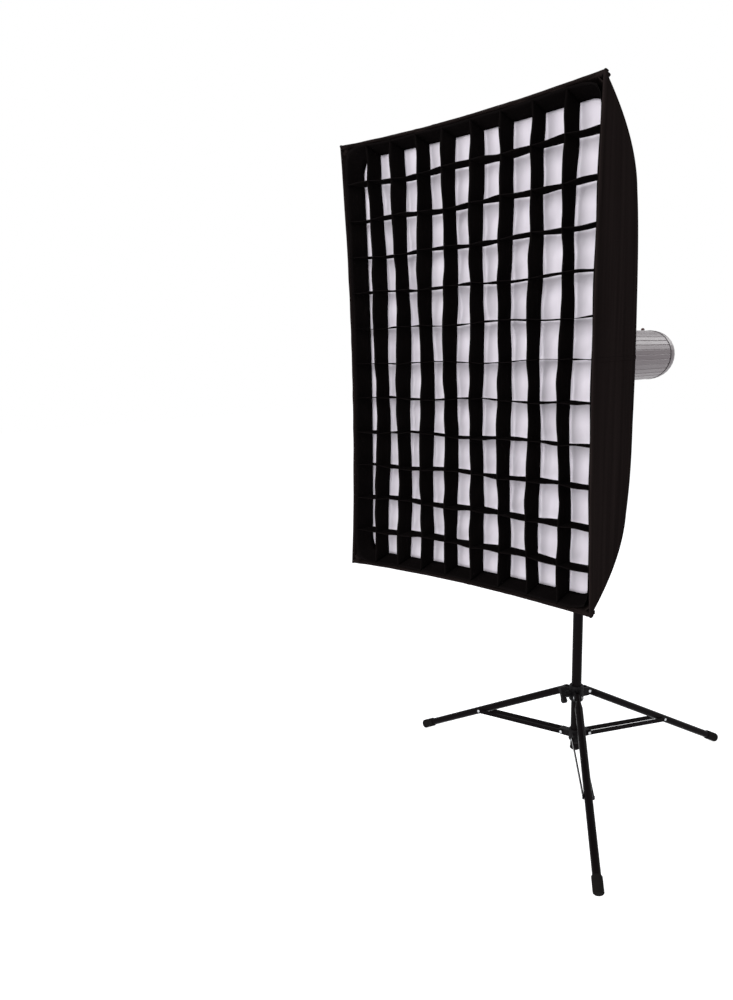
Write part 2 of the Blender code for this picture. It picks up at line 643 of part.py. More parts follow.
# ---------------------------------------------------------------- flash head

tilt = joint("tilt_axis", pan)
head_axis = joint("head_frame", tilt, (0, 0, TILT_DROP))


def lengthways(bm):
    """Lay a solid made along Z down along the head's axis, +Z becoming +Y."""
    bm.transform(Matrix.Rotation(-math.pi / 2, 4, "X"))
    return bm


def finned_tube():
    """Extruded housing with fine grooves along it."""
    inner = HEAD_RADIUS - HEAD_WALL
    outline = []
    for i in range(FIN_COUNT):
        start = math.tau * i / FIN_COUNT
        for share, depth in ((0.0, 0.0), (0.80, 0.0), (0.90, FIN_DEPTH)):
            angle = start + math.tau * share / FIN_COUNT
            outline.append(((HEAD_RADIUS - depth) * math.cos(angle), (HEAD_RADIUS - depth) * math.sin(angle)))
    body = extruded(outline, HEAD_FRONT + GAP, HEAD_SEAM - GAP)
    bore = cylinder(inner, HEAD_FRONT - 0.01, HEAD_SEAM + 0.01, LARGE_SIDES)
    return lengthways(cut(body, bore))


FRONT_COLLAR = HEAD_RADIUS + 0.0035     # radius of the front housing
MOUNT_BORE = HEAD_RADIUS - 0.0080
HOUSING_FRONT = -0.028


def front_housing():
    """Cast front ring with the accessory mount's bore and the lamp plate behind it."""
    inner = HEAD_RADIUS - HEAD_WALL - GAP
    return lengthways(turned([
        (MOUNT_BORE, HOUSING_FRONT), (FRONT_COLLAR - 0.002, HOUSING_FRONT),
        (FRONT_COLLAR, HOUSING_FRONT + 0.002), (FRONT_COLLAR, HEAD_FRONT - 0.004),
        (HEAD_RADIUS, HEAD_FRONT - 0.001), (HEAD_RADIUS, HEAD_FRONT), (inner, HEAD_FRONT),
        (inner, HEAD_FRONT + 0.012), (0.0, HEAD_FRONT + 0.012), (0.0, HEAD_FRONT - 0.006),
        (MOUNT_BORE, HEAD_FRONT - 0.006)], LARGE_SIDES))


HOOD_REACH = 0.014
PANEL_Y = HEAD_REAR - 0.004
DIALS = {"power_dial": (0.020, 0.012), "lamp_dial": (-0.020, 0.012)}
DIAL_RADIUS = 0.0095


def rear_cap():
    """Rounded rear cover with a recessed control panel and a hood over its upper half."""
    inner = HEAD_RADIUS - HEAD_WALL - GAP
    cap = lengthways(turned([
        (0.0, HEAD_SEAM - 0.012), (inner, HEAD_SEAM - 0.012), (inner, HEAD_SEAM + GAP),
        (HEAD_RADIUS, HEAD_SEAM + GAP), (HEAD_RADIUS, HEAD_REAR - 0.022),
        (HEAD_RADIUS - 0.0015, HEAD_REAR - 0.012), (HEAD_RADIUS - 0.0065, HEAD_REAR - 0.003),
        (HEAD_RADIUS - 0.0100, HEAD_REAR), (HEAD_RADIUS - 0.0130, HEAD_REAR),
        (HEAD_RADIUS - 0.0135, PANEL_Y), (0.0, PANEL_Y)], LARGE_SIDES))
    outer, thickness = HEAD_RADIUS - 0.0105, 0.0030
    brow = (arc(outer, math.radians(-152), math.radians(-28), 14)
            + arc(outer - thickness, math.radians(-28), math.radians(-152), 14))
    low, high = HEAD_REAR - 0.003, HEAD_REAR + HOOD_REACH
    hood = lengthways(lofted([
        [(x, y, low) for x, y in brow],
        [(x * 0.97, y * 0.97, high - max(0.0, 0.036 + y) * 0.45) for x, y in brow]]))
    holes = [lengthways(moved(cylinder(0.0033, PANEL_Y - 0.010, PANEL_Y + 0.01), (x, -z, 0)))
             for x, z in DIALS.values()]
    holes.append(block((SWITCH_X - 0.0104, PANEL_Y - 0.010, SWITCH_Z - 0.0063),
                       (SWITCH_X + 0.0104, PANEL_Y + 0.01, SWITCH_Z + 0.0063)))
    holes.append(block((INLET_X - 0.0138, PANEL_Y - 0.014, INLET_Z - 0.0098),
                       (INLET_X + 0.0138, PANEL_Y + 0.01, INLET_Z + 0.0098)))
    holes.append(lengthways(moved(cylinder(0.0040, PANEL_Y - 0.008, PANEL_Y + 0.01, 12),
                                  (TEST_X, -TEST_Z, 0))))
    holes.append(lengthways(moved(cylinder(0.0038, PANEL_Y - 0.010, PANEL_Y + 0.01, 12),
                                  (SYNC_X, -SYNC_Z, 0))))
    return cut(welded(cap, hood), *holes)


SWITCH_X, SWITCH_Z = -0.024, -0.012
INLET_X, INLET_Z = 0.012, -0.026
TEST_X, TEST_Z = 0.0, 0.030
SYNC_X, SYNC_Z = -0.022, -0.033

node("head_body", finned_tube(), HEAD_GREY, head_axis)
node("front_housing", front_housing(), HEAD_GREY, head_axis)
node("rear_cap", rear_cap(), HEAD_GREY, head_axis)


def dial():
    """Knurled control dial on its spindle."""
    outline = [(DIAL_RADIUS * (1.0 - 0.05 * (i % 2)) * math.cos(math.tau * i / 24),
                DIAL_RADIUS * (1.0 - 0.05 * (i % 2)) * math.sin(math.tau * i / 24)) for i in range(24)]
    skirt = extruded(outline, GAP, 0.010, 0.001)
    return lengthways(welded(skirt, cylinder(0.0030, -0.008, 0.002, 12)))


for name, (x, z) in DIALS.items():
    dial_axis = joint(f"{name}_axis", head_axis, (x, PANEL_Y, z))
    node(name, dial(), BLACK_PLASTIC, dial_axis)


def rocker():
    """Rocker switch: a tilted top on a body that turns about its middle."""
    outline = [(-0.0095, 0.0015), (-0.0095, 0.0038), (0.0, 0.0022), (0.0095, 0.0030), (0.0095, 0.0010),
               (0.0040, -0.0050), (-0.0040, -0.0050)]
    return extruded(outline, -0.0060, 0.0060)


switch_axis = joint("power_switch_axis", head_axis, (SWITCH_X, PANEL_Y, SWITCH_Z))
node("power_switch", rocker(), BLACK_PLASTIC, switch_axis)

test_axis = joint("test_button_axis", head_axis, (TEST_X, PANEL_Y, TEST_Z))
node("test_button", lengthways(turned([(0.0, -0.0060), (0.0036, -0.0060), (0.0036, 0.0022),
                                       (0.0028, 0.0030), (0.0, 0.0032)], 16)), RUBBER, test_axis)


def mains_inlet():
    """Three-pin inlet set in the panel: a flanged box with its pins standing in it."""
    body = block((-0.0135, -0.0130, -0.0095), (0.0135, 0.0010, 0.0095))
    flange = block((-0.0160, GAP, -0.0120), (0.0160, 0.0016, 0.0120))
    well = block((-0.0115, -0.0105, -0.0075), (0.0115, 0.0100, 0.0075))
    pins = [block((x - 0.0010, -0.0110, z - 0.0020), (x + 0.0010, -0.0030, z + 0.0020))
            for x, z in ((-0.0065, -0.0020), (0.0065, -0.0020), (0.0, 0.0022))]
    return welded(cut(welded(body, flange), well), *pins)


inlet = mains_inlet()
node("mains_inlet", moved(inlet, (INLET_X, PANEL_Y, INLET_Z)), BLACK_PLASTIC, head_axis)
node("sync_socket", moved(lengthways(turned([
    (0.0014, -0.0080), (0.0035, -0.0080), (0.0035, GAP), (0.0050, GAP), (0.0050, 0.0015),
    (0.0014, 0.0015)], 16)), (SYNC_X, PANEL_Y, SYNC_Z)), STEEL, head_axis)
node("slave_sensor", moved(turned([
    (0.0, 0.0), (0.0048, 0.0), (0.0048, 0.0022), (0.0036, 0.0048), (0.0018, 0.0060),
    (0.0, 0.0063)], 16), (0, HEAD_SEAM - 0.035, HEAD_RADIUS + GAP)), RUBBER, head_axis)


def tilt_block():
    """Tongue under the head, on a saddle that follows the round housing."""
    top = TILT_DROP - HEAD_RADIUS + 0.014
    seat = block((-SADDLE_WIDTH, -0.004, TILT_DROP - HEAD_RADIUS - 0.0065),
                 (SADDLE_WIDTH, HEAD_FRONT + SADDLE_LENGTH, top))
    nose = arc(CHEEK_RADIUS - 0.001, math.pi, math.tau, 10)
    outline = [(CHEEK_RADIUS - 0.001, TILT_DROP - HEAD_RADIUS - 0.002)] + \
              [(-CHEEK_RADIUS + 0.001, TILT_DROP - HEAD_RADIUS - 0.002)] + nose
    tongue = extruded(outline, -TILT_TONGUE, TILT_TONGUE)
    tongue.transform(Matrix.Rotation(math.pi / 2, 4, "Z") @ Matrix.Rotation(math.pi / 2, 4, "X"))
    rest = lengthways(turned([
        (0.0, HOUSING_FRONT - 0.01), (FRONT_COLLAR + GAP, HOUSING_FRONT - 0.01),
        (FRONT_COLLAR + GAP, HEAD_FRONT - 0.004 + GAP), (HEAD_RADIUS + GAP, HEAD_FRONT + GAP),
        (HEAD_RADIUS + GAP, 0.12), (0.0, 0.12)], 72))
    moved(rest, (0, 0, TILT_DROP))
    cross = moved(cylinder(BOLT_RADIUS + RUN, -0.03, 0.03), aim=(1, 0, 0))
    return cut(welded(seat, tongue), rest, cross)


node("tilt_block", tilt_block(), BLACK_PAINT, tilt)


def flash_tube():
    """Open ring of tube in front of the lamp plate, its two ends bent back to their sockets."""
    radius, front, back = 0.030, -0.018, HEAD_FRONT - 0.006 - GAP
    ring = arc(radius, math.radians(100), math.radians(440), 18)
    path = [(ring[0][0], back, ring[0][1])] + [(x, front, z) for x, z in ring]
    path.append((ring[-1][0], back, ring[-1][1]))
    return rod(path, 0.0042, 6)


PLATE_FACE = HEAD_FRONT - 0.006 - GAP
node("reflector_dish", lengthways(turned([
    (0.0500, -0.0080), (0.0512, -0.0080), (0.0400, PLATE_FACE), (0.0350, PLATE_FACE),
    (0.0350, PLATE_FACE - 0.0010), (0.0392, PLATE_FACE - 0.0010)], 24)), STEEL, head_axis)
node("flash_tube", flash_tube(), GLASS, head_axis)
node("modelling_lamp", lengthways(turned([
    (0.0, PLATE_FACE), (0.0145, PLATE_FACE), (0.0145, 0.0130), (0.0175, 0.0080), (0.0175, -0.0420),
    (0.0160, -0.0510), (0.0120, -0.0575), (0.0060, -0.0610), (0.0, -0.0620)][::-1], 18)),
    GLASS, head_axis)


# ---------------------------------------------------------------- softbox walls

RING_Y = BOX_DEPTH - FRONT_REACH
CORNER_REACH = math.hypot(BOX_WIDTH, BOX_HEIGHT) / 2
CORNER_ANGLE = math.atan2(BOX_HEIGHT, BOX_WIDTH)
BACK_SCALE = RING_RADIUS / CORNER_REACH
LIP_START = 1.0 - LIP_DEPTH / BOX_DEPTH
LINING_STEPS = 7
DEPTHS = [LIP_START * (i / LINING_STEPS) ** 2 for i in range(LINING_STEPS + 1)] + [1.0]
LIP_WALL = 0.0010
RIGHT, TOP, LEFT, BOTTOM = range(4)
SAGS = {RIGHT: SIDE_SAG, LEFT: SIDE_SAG, TOP: TOP_SAG, BOTTOM: BOTTOM_SAG}
PANEL_COLUMNS = {RIGHT: 6, LEFT: 6, TOP: 4, BOTTOM: 4}
SIDE_NAMES = {RIGHT: "right", TOP: "top", LEFT: "left", BOTTOM: "bottom"}


def scale_at(depth):
    """Size of the box's section as a share of its front edge; depth is 0 at the ring, 1 in front."""
    return BACK_SCALE + (1.0 - BACK_SCALE) * depth ** BOW


def inward(side, depth):
    """Unit normal of a wall, pointing into the box, as (towards the axis, along Y)."""
    half = BOX_WIDTH / 2 if side in (RIGHT, LEFT) else BOX_HEIGHT / 2
    depth = max(depth, 0.02)
    slope = half * (1.0 - BACK_SCALE) * BOW * depth ** (BOW - 1.0)
    length = math.hypot(slope, BOX_DEPTH)
    return BOX_DEPTH / length, -slope / length


def roundness(depth):
    """Share of the ring's circle in the box's section; the rest is the rectangle."""
    return (1.0 - depth) ** ROUND_BACK


def wall_point(side, depth, across_share, inset):
    """Point of a wall, inset along its normal: across_share runs from -1 to 1 between two ribs."""
    scale = scale_at(depth)
    wide = side in (TOP, BOTTOM)
    half_out = (BOX_HEIGHT if wide else BOX_WIDTH) / 2 * scale
    half_across = (BOX_WIDTH if wide else BOX_HEIGHT) / 2 * scale
    spread = math.pi / 2 - CORNER_ANGLE if wide else CORNER_ANGLE
    ring = RING_RADIUS * roundness(depth)
    straight = 1.0 - roundness(depth)
    sag = SAGS[side] * depth ** 3 * (1.0 - across_share ** 2)
    out = (half_out - sag) * straight + ring * math.cos(spread * across_share)
    over = half_across * across_share * straight + ring * math.sin(spread * across_share)
    towards, along = inward(side, depth)
    out -= inset * towards
    y = RING_Y - depth * BOX_DEPTH + inset * along
    if side in (LEFT, BOTTOM):
        out = -out
    return Vector((over, y, out)) if wide else Vector((out, y, over))


def shares_of(side):
    """Where a wall's columns of points stand between its two ribs."""
    return [-1.0 + 2.0 * i / PANEL_COLUMNS[side] for i in range(PANEL_COLUMNS[side] + 1)]


def wall_row(side, depth, inset, margin):
    """One row of a wall's points, its two ends drawn in from the ribs along the cloth."""
    row = [wall_point(side, depth, share, inset) for share in shares_of(side)]
    for end, neighbour in ((0, 1), (-1, -2)):
        row[end] = row[end] + (row[neighbour] - row[end]).normalized() * margin
    return row


def split(behind, ahead, i, j, shares):
    """Two triangles between columns i and j of two rows, cut so that stacked cloths stay parallel."""
    if abs(shares[i]) < abs(shares[j]):
        return [[behind + i, behind + j, ahead + j], [behind + i, ahead + j, ahead + i]]
    return [[behind + i, behind + j, ahead + i], [behind + j, ahead + j, ahead + i]]


def wall(side, depths, inset, thickness, margin):
    """Closed sheet along one wall of the box."""
    shares = shares_of(side)
    outer = [point for depth in depths for point in wall_row(side, depth, inset, margin)]
    inner = [point for depth in depths for point in wall_row(side, depth, inset + thickness, margin)]
    count = len(shares)
    faces = [face for row in range(len(depths) - 1) for i in range(count - 1)
             for face in split(row * count, (row + 1) * count, i, i + 1, shares)]
    return slab(outer, inner, faces)


RIB_ROOM = 0.017            # the lining and the lip stop short of the ribs
POCKET = 0.020
POCKET_WALL = 0.006
SEAM = 0.0005               # how deep a sewn-on piece overlaps its wall


def sleeve(depths, inset, thickness, bridged):
    """One closed band round all four walls; it crosses the corners only in the bridged steps."""
    orders = {RIGHT: 1, TOP: -1, LEFT: -1, BOTTOM: 1}
    shares, corners = [], []
    for side, order in orders.items():
        shares += shares_of(side)[::order]
        corners.append(len(shares) - 1)

    def layer(depth_in):
        return [point for depth in depths for side, order in orders.items()
                for point in wall_row(side, depth, depth_in, RIB_ROOM)[::order]]

    count = len(shares)
    faces = [face for row in range(len(depths) - 1) for i in range(count)
             if i not in corners or row in bridged
             for face in split(row * count, (row + 1) * count, i, (i + 1) % count, shares)]
    return slab(layer(inset), layer(inset + thickness), faces)


def corner_pocket(side_x, side_z):
    """Stitched cap that hugs one front corner from outside and takes the rib's tip."""
    rings = []
    for depth in (1.0 - 0.026 / BOX_DEPTH, 1.0):
        corner_x = BOX_WIDTH / 2 * scale_at(depth) + GAP
        corner_z = BOX_HEIGHT / 2 * scale_at(depth) - SEAM
        layout = [(-POCKET, 0.0), (0.0, 0.0), (0.0, -POCKET), (POCKET_WALL * 0.5, -POCKET),
                  (POCKET_WALL, -POCKET * 0.5), (POCKET_WALL, POCKET_WALL * 0.6),
                  (POCKET_WALL * 0.6, POCKET_WALL), (-POCKET * 0.5, POCKET_WALL),
                  (-POCKET, POCKET_WALL * 0.5)]
        rings.append([(side_x * (corner_x + dx), RING_Y - depth * BOX_DEPTH, side_z * (corner_z + dz))
                      for dx, dz in layout])
    return lofted(rings)


roll = joint("roll_axis", head_axis)
for side in (RIGHT, LEFT):
    node(f"shell_{SIDE_NAMES[side]}", wall(side, DEPTHS, 0.0, CLOTH, CLOTH + 2 * GAP), BLACK_CLOTH, roll)
for side, up in ((TOP, 1), (BOTTOM, -1)):
    panel = welded(wall(side, DEPTHS, 0.0, CLOTH, 0.0), corner_pocket(1, up), corner_pocket(-1, up))
    node(f"shell_{SIDE_NAMES[side]}", panel, BLACK_CLOTH, roll)

node("lining", sleeve(DEPTHS[1:-1], CLOTH + GAP, LINING, bridged=[LINING_STEPS - 2]), SILVER_CLOTH, roll)
node("front_lip", sleeve([LIP_START + GAP, 1.0 - 0.002 / BOX_DEPTH], CLOTH + GAP, LIP_WALL, bridged=[0]),
     BLACK_CLOTH, roll)


# ---------------------------------------------------------------- ring, ribs and umbrella mechanism

RING_BACK = RING_Y - 0.0012
RING_FRONT = RING_BACK - 0.0060
RING_BORE = HEAD_RADIUS + 0.0023
facet = math.cos(CORNER_ANGLE / PANEL_COLUMNS[RIGHT])
RING_RIM = (RING_RADIUS - CLOTH) * facet - GAP
PIVOT_REACH = RING_BORE + 0.0197
PIVOT_Y = RING_FRONT - 0.0100
RIB_EAR = 0.0022
EYE_RADIUS = 0.0055
RIB_TIP_BACK = 0.004        # the rib's tip stops short of the front edge
CORNER_TURNS = [CORNER_ANGLE, math.pi - CORNER_ANGLE, math.pi + CORNER_ANGLE, -CORNER_ANGLE]


def about_axis(bm, angle):
    """Turn a solid about the box's axis; at angle 0 its X is the rib's direction."""
    bm.transform(Matrix.Rotation(-angle, 4, "Y"))
    return bm


def speed_ring():
    """Flat ring with a fork of two ears for each rib and the rib's pin across it."""
    plate = lengthways(turned([(RING_BORE, RING_FRONT), (RING_RIM, RING_FRONT), (RING_RIM, RING_BACK),
                               (RING_BORE, RING_BACK)], LARGE_SIDES))
    pieces = []
    for angle in CORNER_TURNS:
        for side in (1, -1):
            inner = side * (EYE_RADIUS * 0.6 + RUN)
            low, high = sorted((inner, inner + side * RIB_EAR))
            outline = [(PIVOT_REACH - 0.0060, RING_FRONT + 0.002), (PIVOT_REACH - 0.0060, PIVOT_Y)] + arc(
                0.0060, math.pi, math.tau, 4, (PIVOT_REACH, PIVOT_Y))[1:-1] + [
                (PIVOT_REACH + 0.0060, PIVOT_Y), (PIVOT_REACH + 0.0060, RING_FRONT + 0.002)]
            pieces.append(about_axis(extruded(outline, low, high), angle))
        reach = EYE_RADIUS * 0.6 + RUN + RIB_EAR + 0.0012
        pieces.append(about_axis(moved(cylinder(0.0018, -reach, reach, 8), (PIVOT_REACH, PIVOT_Y, 0)),
                                 angle))
    return welded(plate, *pieces)


def rib_path():
    """Rib's centre line in its own plane, beside the box's corner: distance from the axis, and Y."""
    corners = [Vector((scale_at(depth) * CORNER_REACH * (1.0 - roundness(depth))
                       + RING_RADIUS * roundness(depth), RING_Y - depth * BOX_DEPTH))
               for depth in DEPTHS[1:]]
    corners.append(corners[-1] * 2 - corners[-2])
    points = [Vector((PIVOT_REACH, PIVOT_Y)), Vector((PIVOT_REACH + 0.012, PIVOT_Y))]
    for before, here, after in zip(corners, corners[1:], corners[2:]):
        tangent = ((here - before).normalized() + (after - here).normalized()).normalized()
        points.append(here + Vector((tangent.y, -tangent.x)) * RIB_TO_WALL / math.cos(CORNER_ANGLE))
    points[-1].y += RIB_TIP_BACK
    return points


def rib():
    """Sprung rod, bowed along the box's corner, with a bored eye at its root."""
    body = rod([(p.x, p.y, 0.0) for p in rib_path()], RIB_RADIUS, 6)
    eye = cylinder(EYE_RADIUS, -EYE_RADIUS * 0.6, EYE_RADIUS * 0.6, 10)
    hole = cylinder(0.0018 + RUN, -0.01, 0.01, 8)
    return cut(welded(body, moved(eye, (PIVOT_REACH, PIVOT_Y, 0))), moved(hole, (PIVOT_REACH, PIVOT_Y, 0)))


node("speed_ring", speed_ring(), STEEL, roll)
for number, angle in enumerate(CORNER_TURNS, start=1):
    node(f"rib_{number}", about_axis(rib(), angle), BLACK_PAINT, roll)

INSERT_RADIUS = RING_BORE - GAP
node("ring_insert", lengthways(turned([
    (0.0515, RING_FRONT - GAP - 0.0040), (RING_BORE + 0.0050, RING_FRONT - GAP - 0.0040),
    (RING_BORE + 0.0050, RING_FRONT - GAP), (INSERT_RADIUS, RING_FRONT - GAP),
    (INSERT_RADIUS, HOUSING_FRONT - GAP), (MOUNT_BORE - GAP, HOUSING_FRONT - GAP),
    (MOUNT_BORE - GAP, HOUSING_FRONT + 0.014), (0.0515, HOUSING_FRONT + 0.014)], LARGE_SIDES)),
     STEEL, roll)

SHAFT_RADIUS = 0.0035
HUB_Y = -0.128
RUNNER_Y = -0.166
RUNNER_RADIUS = 0.032
SHAFT_TIP = -0.350
WIRE_RADIUS = 0.0016


def hub_bridge():
    """Four bent wires from the ring's insert to a hub in front of the lamp."""
    wires = []
    foot_y = RING_FRONT - GAP - 0.0030
    for quarter in range(4):
        bend = [(0.0640, foot_y - 0.0025), (0.0640, -0.090), (0.0600, -0.108), (0.0480, -0.122),
                (0.0300, HUB_Y), (0.0060, HUB_Y)]
        wires.append(about_axis(rod([(x, y, 0.0) for x, y in bend], 0.0025, 6), quarter * math.pi / 2))
    feet = lengthways(turned([(0.0605, foot_y - 0.0040), (0.0675, foot_y - 0.0040),
                              (0.0675, foot_y - 0.0013), (0.0605, foot_y - 0.0013)], 24))
    hub = lengthways(cylinder(0.0095, HUB_Y - 0.008, HUB_Y + 0.006))
    hole = lengthways(cylinder(SHAFT_RADIUS + GAP, HUB_Y - 0.02, HUB_Y + 0.003, 12))
    return cut(welded(feet, hub, *wires), hole)


def runner():
    """Notched disc on the shaft that the stretchers' inner ends hook into."""
    outline = []
    for i in range(8):
        start = math.tau * i / 8 + math.pi / 8
        for share, radius in ((0.06, RUNNER_RADIUS), (0.34, RUNNER_RADIUS + 0.0006),
                              (0.62, RUNNER_RADIUS + 0.0006), (0.90, RUNNER_RADIUS),
                              (0.92, RUNNER_RADIUS - 0.006), (1.04, RUNNER_RADIUS - 0.006)):
            angle = start + share * math.tau / 8
            outline.append((radius * math.cos(angle), radius * math.sin(angle)))
    disc = extruded(outline, RUNNER_Y - 0.004, RUNNER_Y + 0.004)
    collar = cylinder(0.0080, RUNNER_Y - 0.012, RUNNER_Y + 0.010)
    hole = cylinder(SHAFT_RADIUS + GAP, RUNNER_Y - 0.02, RUNNER_Y + 0.02, 12)
    return lengthways(cut(welded(disc, collar), hole))


def stretcher():
    """Straight wire from the runner's rim out to the middle of a rib."""
    path = rib_path()
    end, tangent = path[5], (path[6] - path[4]).normalized()
    start = Vector((RUNNER_RADIUS + 0.0014, RUNNER_Y))
    direction = (end - start).normalized()
    angle = direction.angle(tangent)
    stop = end - direction * ((RIB_RADIUS + GAP) / math.sin(angle) + WIRE_RADIUS / math.tan(angle))
    return rod([(start.x, start.y, 0), (stop.x, stop.y, 0)], WIRE_RADIUS, 6)


node("hub_bridge", hub_bridge(), STEEL, roll)
node("runner", runner(), STEEL, roll)
for number, angle in enumerate(CORNER_TURNS, start=1):
    node(f"stretcher_{number}", about_axis(stretcher(), angle), STEEL, roll)
node("centre_shaft", lengthways(turned([
    (0.0, SHAFT_TIP), (SHAFT_RADIUS, SHAFT_TIP + 0.016), (SHAFT_RADIUS, HUB_Y + 0.002),
    (0.0, HUB_Y + 0.002)], 12)), STEEL, roll)


# ---------------------------------------------------------------- diffuser and grid

def held_point(y, s, t, corner_draw):
    """Point inside the lip at a given Y: s and t run from -1 to 1 across and up.

    The outline keeps a gap to the lip and dips with the box's sagging edges.
    """
    share = (RING_Y - y) / BOX_DEPTH
    blend = (share - LIP_START) / (1.0 - LIP_START)
    scale = scale_at(LIP_START) * (1.0 - blend) + scale_at(1.0) * blend
    sag = LIP_START ** 3 * (1.0 - blend) + blend
    wall_room = (CLOTH + GAP + LIP_WALL + GAP) * 1.10
    half_x = BOX_WIDTH / 2 * scale - wall_room - SIDE_SAG * sag * (1.0 - t * t)
    top = BOX_HEIGHT / 2 * scale - wall_room - TOP_SAG * sag * (1.0 - s * s)
    bottom = -BOX_HEIGHT / 2 * scale + wall_room + BOTTOM_SAG * sag * (1.0 - s * s)
    draw = corner_draw * max(0.0, abs(s) - 0.9) * max(0.0, abs(t) - 0.93) / (0.1 * 0.07)
    x = s * half_x - math.copysign(draw, s)
    z = bottom + (top - bottom) * (t + 1.0) / 2 - math.copysign(draw, t)
    return x, z


def stations(count, wall_share):
    """Grid lines of a lattice: the two sides of each wall."""
    lines = []
    for i in range(count + 1):
        centre = -1.0 + 2.0 * i / count
        low, high = centre - wall_share / 2, centre + wall_share / 2
        if i == 0:
            low, high = -1.0, -1.0 + wall_share
        if i == count:
            low, high = 1.0 - wall_share, 1.0
        lines += [low, high]
    return lines


GRID_FRONT_Y = -FRONT_REACH + 0.004
GRID_BACK_Y = GRID_FRONT_Y + GRID_DEPTH
GRID_SLACK = 0.0035         # how far a crossing wanders from its place


def grid():
    """Lattice of slack upright and level strips with a band round it, in one sewn piece."""
    across_lines = stations(GRID_COLUMNS, GRID_WALL / (BOX_WIDTH / 2))
    up_lines = stations(GRID_ROWS, GRID_WALL / (BOX_HEIGHT / 2))

    def layer(y, phase):
        points = []
        for j, t in enumerate(up_lines):
            for i, s in enumerate(across_lines):
                x, z = held_point(y, s, t, CORNER_DRAW)
                upright, level = i // 2, j // 2
                if 0 < upright < GRID_COLUMNS and 0 < level < GRID_ROWS:
                    x += GRID_SLACK * math.sin(2.1 * upright + 1.3 * level + phase)
                    z += GRID_SLACK * math.sin(1.7 * upright + 2.3 * level + phase)
                points.append((x, y, z))
        return points

    faces = grid_faces(len(across_lines) - 1, len(up_lines) - 1,
                       skip=lambda i, j: i % 2 == 1 and j % 2 == 1)
    return slab(layer(GRID_FRONT_Y, 0.0), layer(GRID_BACK_Y, 1.1), faces)


DIFFUSER_Y = GRID_BACK_Y + 0.0050
RIPPLE = 0.0022


def diffuser():
    """White sheet behind the grid, stretched at its edges with soft folds between."""
    columns, rows = 8, 12

    def layer(offset):
        points = []
        for j in range(rows + 1):
            for i in range(columns + 1):
                s, t = -1.0 + 2.0 * i / columns, -1.0 + 2.0 * j / rows
                fold = RIPPLE * (1.0 - s ** 4) * (1.0 - t ** 4) * math.sin(3.0 * s + 5.0 * t)
                y = DIFFUSER_Y + fold + offset
                x, z = held_point(y, s, t, CORNER_DRAW)
                points.append((x, y, z))
        return points

    return slab(layer(0.0), layer(DIFFUSER_WALL), grid_faces(columns, rows))


diffuser_slide = joint("diffuser_axis", roll)
node("diffuser", diffuser(), WHITE_CLOTH, diffuser_slide)
grid_slide = joint("grid_axis", diffuser_slide)
node("grid", grid(), BLACK_CLOTH, grid_slide)


# ---------------------------------------------------------------- place on the floor

def outline_corners():
    """Lowest and highest corners of everything that was modelled."""
    bpy.context.view_layer.update()
    points = [piece.matrix_world @ vertex.co for piece in bpy.data.objects if piece.type == "MESH"
              for vertex in piece.data.vertices]
    return ([min(p[axis] for p in points) for axis in range(3)],
            [max(p[axis] for p in points) for axis in range(3)])


lowest, highest = outline_corners()
base.location = (-(lowest[0] + highest[0]) / 2, -(lowest[1] + highest[1]) / 2, -lowest[2])
bpy.context.view_layer.update()
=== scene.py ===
"""Looks of a 60 x 90 cm softbox with its grid, on a flash head and a light stand.

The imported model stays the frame; cloth is made here as surfaces worked out with numpy, and the
hard pieces keep their solids and get their finishes.  All lengths are in metres.
"""
import json
import math

import bpy
import numpy as np
from mathutils import Matrix, Vector


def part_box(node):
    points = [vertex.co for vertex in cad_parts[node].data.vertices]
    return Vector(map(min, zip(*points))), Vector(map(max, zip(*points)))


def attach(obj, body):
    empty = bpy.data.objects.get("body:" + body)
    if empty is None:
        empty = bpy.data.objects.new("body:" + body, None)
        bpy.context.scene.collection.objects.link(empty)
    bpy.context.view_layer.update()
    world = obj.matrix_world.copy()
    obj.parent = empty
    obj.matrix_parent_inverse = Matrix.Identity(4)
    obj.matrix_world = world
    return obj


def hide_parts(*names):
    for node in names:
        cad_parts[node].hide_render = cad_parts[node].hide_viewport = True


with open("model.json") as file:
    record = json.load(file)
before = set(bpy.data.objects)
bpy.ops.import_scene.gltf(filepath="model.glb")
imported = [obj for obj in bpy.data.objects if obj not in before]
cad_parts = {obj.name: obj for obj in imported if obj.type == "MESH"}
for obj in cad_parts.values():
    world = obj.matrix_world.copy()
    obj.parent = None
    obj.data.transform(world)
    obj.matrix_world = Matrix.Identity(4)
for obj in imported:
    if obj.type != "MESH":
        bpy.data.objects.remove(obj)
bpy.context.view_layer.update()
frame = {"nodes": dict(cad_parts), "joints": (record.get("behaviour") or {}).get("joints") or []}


# ------------------------------------------------------------------ studio: camera, floor, light
# A white cyclorama with large soft lamps, as for a catalogue picture.  The camera stands to the
# right of the box's front, at the height of the lamp head, and looks slightly down.

tube_low, tube_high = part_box("lower_tube")
column = (tube_low + tube_high) / 2

